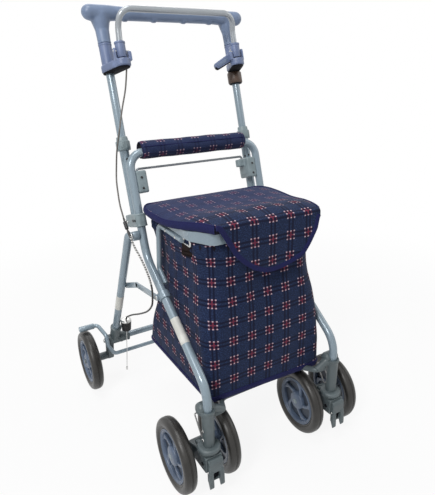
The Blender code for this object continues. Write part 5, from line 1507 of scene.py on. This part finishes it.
def add_flap(shape, columns):
    """The flap: cloth rolled over the fold and hanging, its lining, its edge and the binding round that."""
    depth, turn, bend = 16, 5, 0.0055
    face, lining, spread = [], [], []
    for a in range(depth + turn + 1):
        outer, inner, places = [], [], []
        angle = pi / 2 * min(a / turn, 1)
        down = max(a - turn, 0) / depth
        inset = Vector((0, cos(pi / 2 - angle), -cos(angle))) * 0.0021
        for x in columns:
            high = lid_top(x, LID_FOLD) + 0.0006
            y, z = LID_FOLD - bend * sin(angle), high - bend * (1 - cos(angle))
            z += min(flap_edge(x) - z, 0) * down
            hang = bump(high - z, 0.004, 0.05)
            y += -0.001 * hang + 0.0022 * sin(x * 52 + 0.6) * bump(high - z, 0.012, 0.07)
            outer.append(Vector((x, y, z)))
            inner.append(Vector((x, y, z)) + inset)
            places.append((x, (0.002 - 0.0072 * min(a / turn, 1) - (high - z - bend if a > turn else 0)) * 0.97))
        face.append(outer)
        lining.append(inner)
        spread.append(places)
    shape.skin(face, 0, spread, caps=False)
    shape.skin(lining, 2, spread, caps=False)
    edge_out, edge_in = border(face), border(lining)
    shape.skin([edge_out + [edge_out[0]], edge_in + [edge_in[0]]], 1, caps=False)
    path = [Vector((x, y + 0.0011, z)) for x, y, z in face[-1]]
    tape = []
    for index, point in enumerate(path):
        ahead = (path[min(index + 1, len(path) - 1)] - path[max(index - 1, 0)]).normalized()
        tape.append((point, Vector((-ahead.z, 0, ahead.x)).normalized()))
    rows = []
    for reach, out in (
        (-0.001, 0.0), (-0.0005, -0.0019), (0.0066, -0.0018), (0.0074, -0.0009), (0.0074, 0.0009), (0.0066, 0.0017),
        (-0.0005, 0.0019),
    ):
        rows.append([point + inward * reach + Vector((0, out, 0)) for point, inward in tape])
    shape.skin([list(column) for column in zip(*(rows + [rows[0]]))], 1)


def border(rows):
    """The points round the edge of a grid, in order."""
    right = [row[-1] for row in rows[1:-1]]
    left = [row[0] for row in rows[1:-1]]
    return [p.copy() for p in rows[0] + right + rows[-1][::-1] + left[::-1]]


def make_roll():
    """The padded roll over the loop: a pulled-in cover with open ends, painted near-black inside as shade."""
    loop = lean(0, LOOP_ALONG)
    centre = Vector((0, loop.y + 0.0068, loop.z + 0.0025))
    half, radius, count, around = 0.107, 0.0167, 90, 48
    shape = Shape()

    def spot(x, angle, size):
        return centre + Vector((x, cos(angle) * size, sin(angle) * size))

    rows, cloth = [], []
    for a in range(count + 1):
        x = -half + 2 * half * a / count
        end = min(x + half, half - x)
        row, places = [], []
        for b in range(around + 1):
            angle = 2 * pi * (b % around) / around
            pucker = 0.0009 * noise.noise(Vector((x * 30, cos(angle) * 1.4, sin(angle) * 1.4)))
            pucker += 0.0006 * sin(angle * 5 + x * 40) * (1 - bump(end, 0, 0.02))
            size = radius - 0.0014 * (1 - bump(end, 0, 0.006)) + pucker - 0.0006
            row.append(spot(x, angle, size))
            places.append((x, size * 2 * pi * b / around + 0.0085))
        rows.append(row)
        cloth.append(places)
    shape.skin(rows, 0, cloth, caps=False)
    inner = radius - 0.0032
    for side, edge in ((-1, rows[0]), (1, rows[-1])):
        rings = [edge]
        for inset, size in (
            (-0.0008, radius - 0.0026), (0.0, inner), (0.004, inner - 0.0006), (0.005, 0.0084), (0.005, 0.0078),
        ):
            offset = side * (half - inset)
            rings.append([spot(offset, 2 * pi * (b % around) / around, size) for b in range(around + 1)])
        shape.skin(rings[:3], 1, caps=False)
        # Inside the binding, a short recess and the disc closing it: painted shade
        shape.skin(rings[2:], 2, caps=False)
        shape.put(rings[-1][:-1], [tuple(range(around))], 2)
    seam = [spot(-half + 2 * half * i / 60, 2.6, radius - 0.0006) for i in range(1, 60)]
    shape.tube(seam, 0.0008, 1, sides=8)
    obj = shape.finish("backrest_roll", "front_frame", "roll binding foam", "plaid", "backrest_roll_cover", sharp=60)


# Stage


def add_lamp(name, place, target, size, power):
    lamp = bpy.data.lights.new(name, "AREA")
    lamp.shape = "DISK"
    lamp.size = size
    lamp.energy = power
    obj = linked(name, lamp)
    obj.location = place
    obj.rotation_euler = (Vector(target) - Vector(place)).to_track_quat("-Z", "Y").to_euler()


def seen_rays(nodes):
    """1 for rays from the camera, off mirrors and through glass."""
    camera, glossy, glass = (
        nodes.node("ShaderNodeLightPath", {}, output=f"Is {kind} Ray") for kind in ("Camera", "Glossy", "Transmission")
    )
    return camera.larger(glossy).larger(glass)


def floor_look():
    """A pale floor that turns to plain white away from the object and keeps its shadow."""
    material = bpy.data.materials.new("pale_floor")
    material.use_nodes = True
    material.node_tree.nodes.clear()
    nodes = Nodes(material.node_tree)
    across, along, _ = nodes.parts(nodes.place())
    far = (across * across + along * along).step(0.3, 1.6)
    pale = nodes.node("ShaderNodeBsdfDiffuse", {}, (0.94, 0.94, 0.94, 1))
    glow = nodes.node("ShaderNodeEmission", {}, WHITE, 1.0)
    mixed = nodes.node("ShaderNodeMixShader", {}, seen_rays(nodes) * (far * 0.1 + 0.9), pale, glow)
    nodes.node("ShaderNodeOutputMaterial", {}, mixed)
    return material


def make_stage():
    """The photograph's camera, the floor, four soft lamps and the pale world."""
    scene = bpy.context.scene
    camera = bpy.data.cameras.new("camera")
    camera.sensor_fit = "VERTICAL"
    camera.sensor_height = 36
    camera.lens = FOCAL_PIXELS / IMAGE_HEIGHT * camera.sensor_height
    camera.shift_x = (IMAGE_WIDTH / 2 - VIEW_CENTRE[0]) / IMAGE_HEIGHT
    camera.shift_y = (VIEW_CENTRE[1] - IMAGE_HEIGHT / 2) / IMAGE_HEIGHT
    scene.camera = linked("camera", camera)
    azimuth, elevation, roll = (radians(angle) for angle in CAMERA_TURN)
    level = Matrix.Rotation(azimuth, 4, "Z") @ Matrix.Rotation(pi / 2 - elevation, 4, "X")
    scene.camera.matrix_world = Matrix.Translation(CAMERA_PLACE + DATUM) @ (level @ Matrix.Rotation(roll, 4, "Z"))
    scene.view_settings.view_transform = "Standard"
    mesh, reach = bpy.data.meshes.new("floor"), 60
    corners = [(x * reach, y * reach, 0) for x, y in ((-1, -1), (1, -1), (1, 1), (-1, 1))]
    mesh.from_pydata(corners, [], [(0, 1, 2, 3)])
    mesh.materials.append(floor_look())
    linked("floor", mesh)
    for name, place, aim, size, share in (
        ("lamp_front", (-1.75, -1.25, 2.2), 0.35, 0.8, 2.9),
        ("lamp_top", (-0.5, -0.1, 2.7), 0.4, 1.0, 1.5),
        ("lamp_right", (1.9, -0.7, 1.5), 0.35, 1.4, 0.6),
        ("lamp_back", (0.3, 1.9, 1.9), 0.4, 1.5, 0.8),
    ):
        add_lamp(name, place, (0, 0, aim), size, scene.rollator_sizes.lamp_power * share)
    scene.world = bpy.data.worlds.new("studio")
    scene.world.use_nodes = True
    scene.world.node_tree.nodes.clear()
    nodes = Nodes(scene.world.node_tree)
    dim = nodes.node("ShaderNodeBackground", {}, WHITE, 0.15)
    bright = nodes.node("ShaderNodeBackground", {}, WHITE, 1.0)
    nodes.node("ShaderNodeOutputWorld", {}, nodes.node("ShaderNodeMixShader", {}, seen_rays(nodes), dim, bright))


# Operators, panel and main


class RollatorPiece:
    """What the operators share: they run their makers in order and report that they are done."""

    makers = ()

    def execute(self, context):
        for maker in self.makers:
            maker()
        return {"FINISHED"}


class ROLLATOR_OT_stage(RollatorPiece, bpy.types.Operator):
    """Add the camera, the floor and the soft lamps"""

    bl_idname = "rollator.stage"
    bl_label = "Add Stage"
    makers = (make_stage,)


class ROLLATOR_OT_frame(RollatorPiece, bpy.types.Operator):
    """Make the front frame, the posts, their collars, clamps, lock housings and release rod"""

    bl_idname = "rollator.frame"
    bl_label = "Make Front Frame"
    makers = (make_front_frame, make_posts, make_clamps, make_locks, make_release_rod)


class ROLLATOR_OT_rear_frame(RollatorPiece, bpy.types.Operator):
    """Make the rear legs, joints, stays, sleeves, cross tube and the brake rod"""

    bl_idname = "rollator.rear_frame"
    bl_label = "Make Rear Frame"
    makers = (make_rear_sides, make_rear_cross, make_brake_rod)


class ROLLATOR_OT_casters(RollatorPiece, bpy.types.Operator):
    """Make the caster sockets, yokes, claws and clips"""

    bl_idname = "rollator.casters"
    bl_label = "Make Casters"
    makers = (make_sockets, make_yokes)


class ROLLATOR_OT_wheels(RollatorPiece, bpy.types.Operator):
    """Make the six hubs and tyres"""

    bl_idname = "rollator.wheels"
    bl_label = "Make Wheels"
    makers = (make_wheels,)


class ROLLATOR_OT_handle(RollatorPiece, bpy.types.Operator):
    """Make the grip, the brake housings, the rubber collar, the parking lever and the brake bar"""

    bl_idname = "rollator.handle"
    bl_label = "Make Handle"
    makers = (make_grip, make_housings, make_collar_and_lever, make_brake_bar)


class ROLLATOR_OT_cable(RollatorPiece, bpy.types.Operator):
    """Make the brake cable and its adjuster"""

    bl_idname = "rollator.cable"
    bl_label = "Make Cable"
    makers = (make_cable, make_adjuster)


class ROLLATOR_OT_seat(RollatorPiece, bpy.types.Operator):
    """Make the seat brackets, bag straps, crossbar, seat rim, lid and backrest roll"""

    bl_idname = "rollator.seat"
    bl_label = "Make Seat"
    makers = (make_brackets, make_crossbar, make_rim, make_lid, make_roll)


class ROLLATOR_OT_bag(RollatorPiece, bpy.types.Operator):
    """Make the shopping bag with its stitching"""

    bl_idname = "rollator.bag"
    bl_label = "Make Bag"
    makers = (make_bag,)


OPERATORS = (
    ROLLATOR_OT_stage,
    ROLLATOR_OT_frame,
    ROLLATOR_OT_rear_frame,
    ROLLATOR_OT_casters,
    ROLLATOR_OT_wheels,
    ROLLATOR_OT_handle,
    ROLLATOR_OT_cable,
    ROLLATOR_OT_seat,
    ROLLATOR_OT_bag,
)


class ROLLATOR_PT_panel(bpy.types.Panel):
    """Sidebar panel with the sizes, the colours and a button per piece"""

    bl_idname = "ROLLATOR_PT_panel"
    bl_label = "Shopping Rollator"
    bl_space_type = "VIEW_3D"
    bl_region_type = "UI"
    bl_category = "Rollator"

    def draw(self, context):
        for group in (context.scene.rollator_sizes, context.scene.rollator_cloth, context.scene.rollator_finish):
            box = self.layout.box()
            for key in group.__annotations__:
                box.prop(group, key)
        for operator in OPERATORS:
            self.layout.operator(operator.bl_idname)


GROUPS = {
    "rollator_cloth": RollatorCloth,
    "rollator_finish": RollatorFinish,
    "rollator_sizes": RollatorSizes,
}
CLASSES = (*GROUPS.values(), *OPERATORS, ROLLATOR_PT_panel)


def register():
    for cls in CLASSES:
        bpy.utils.register_class(cls)
    for key, group in GROUPS.items():
        setattr(bpy.types.Scene, key, bpy.props.PointerProperty(type=group))


def unregister():
    for key in GROUPS:
        delattr(bpy.types.Scene, key)
    for cls in reversed(CLASSES):
        bpy.utils.unregister_class(cls)


def main():
    register()
    for operator in OPERATORS:
        getattr(bpy.ops.rollator, operator.bl_idname.split(".")[1])()


if __name__ == "__main__":
    main()
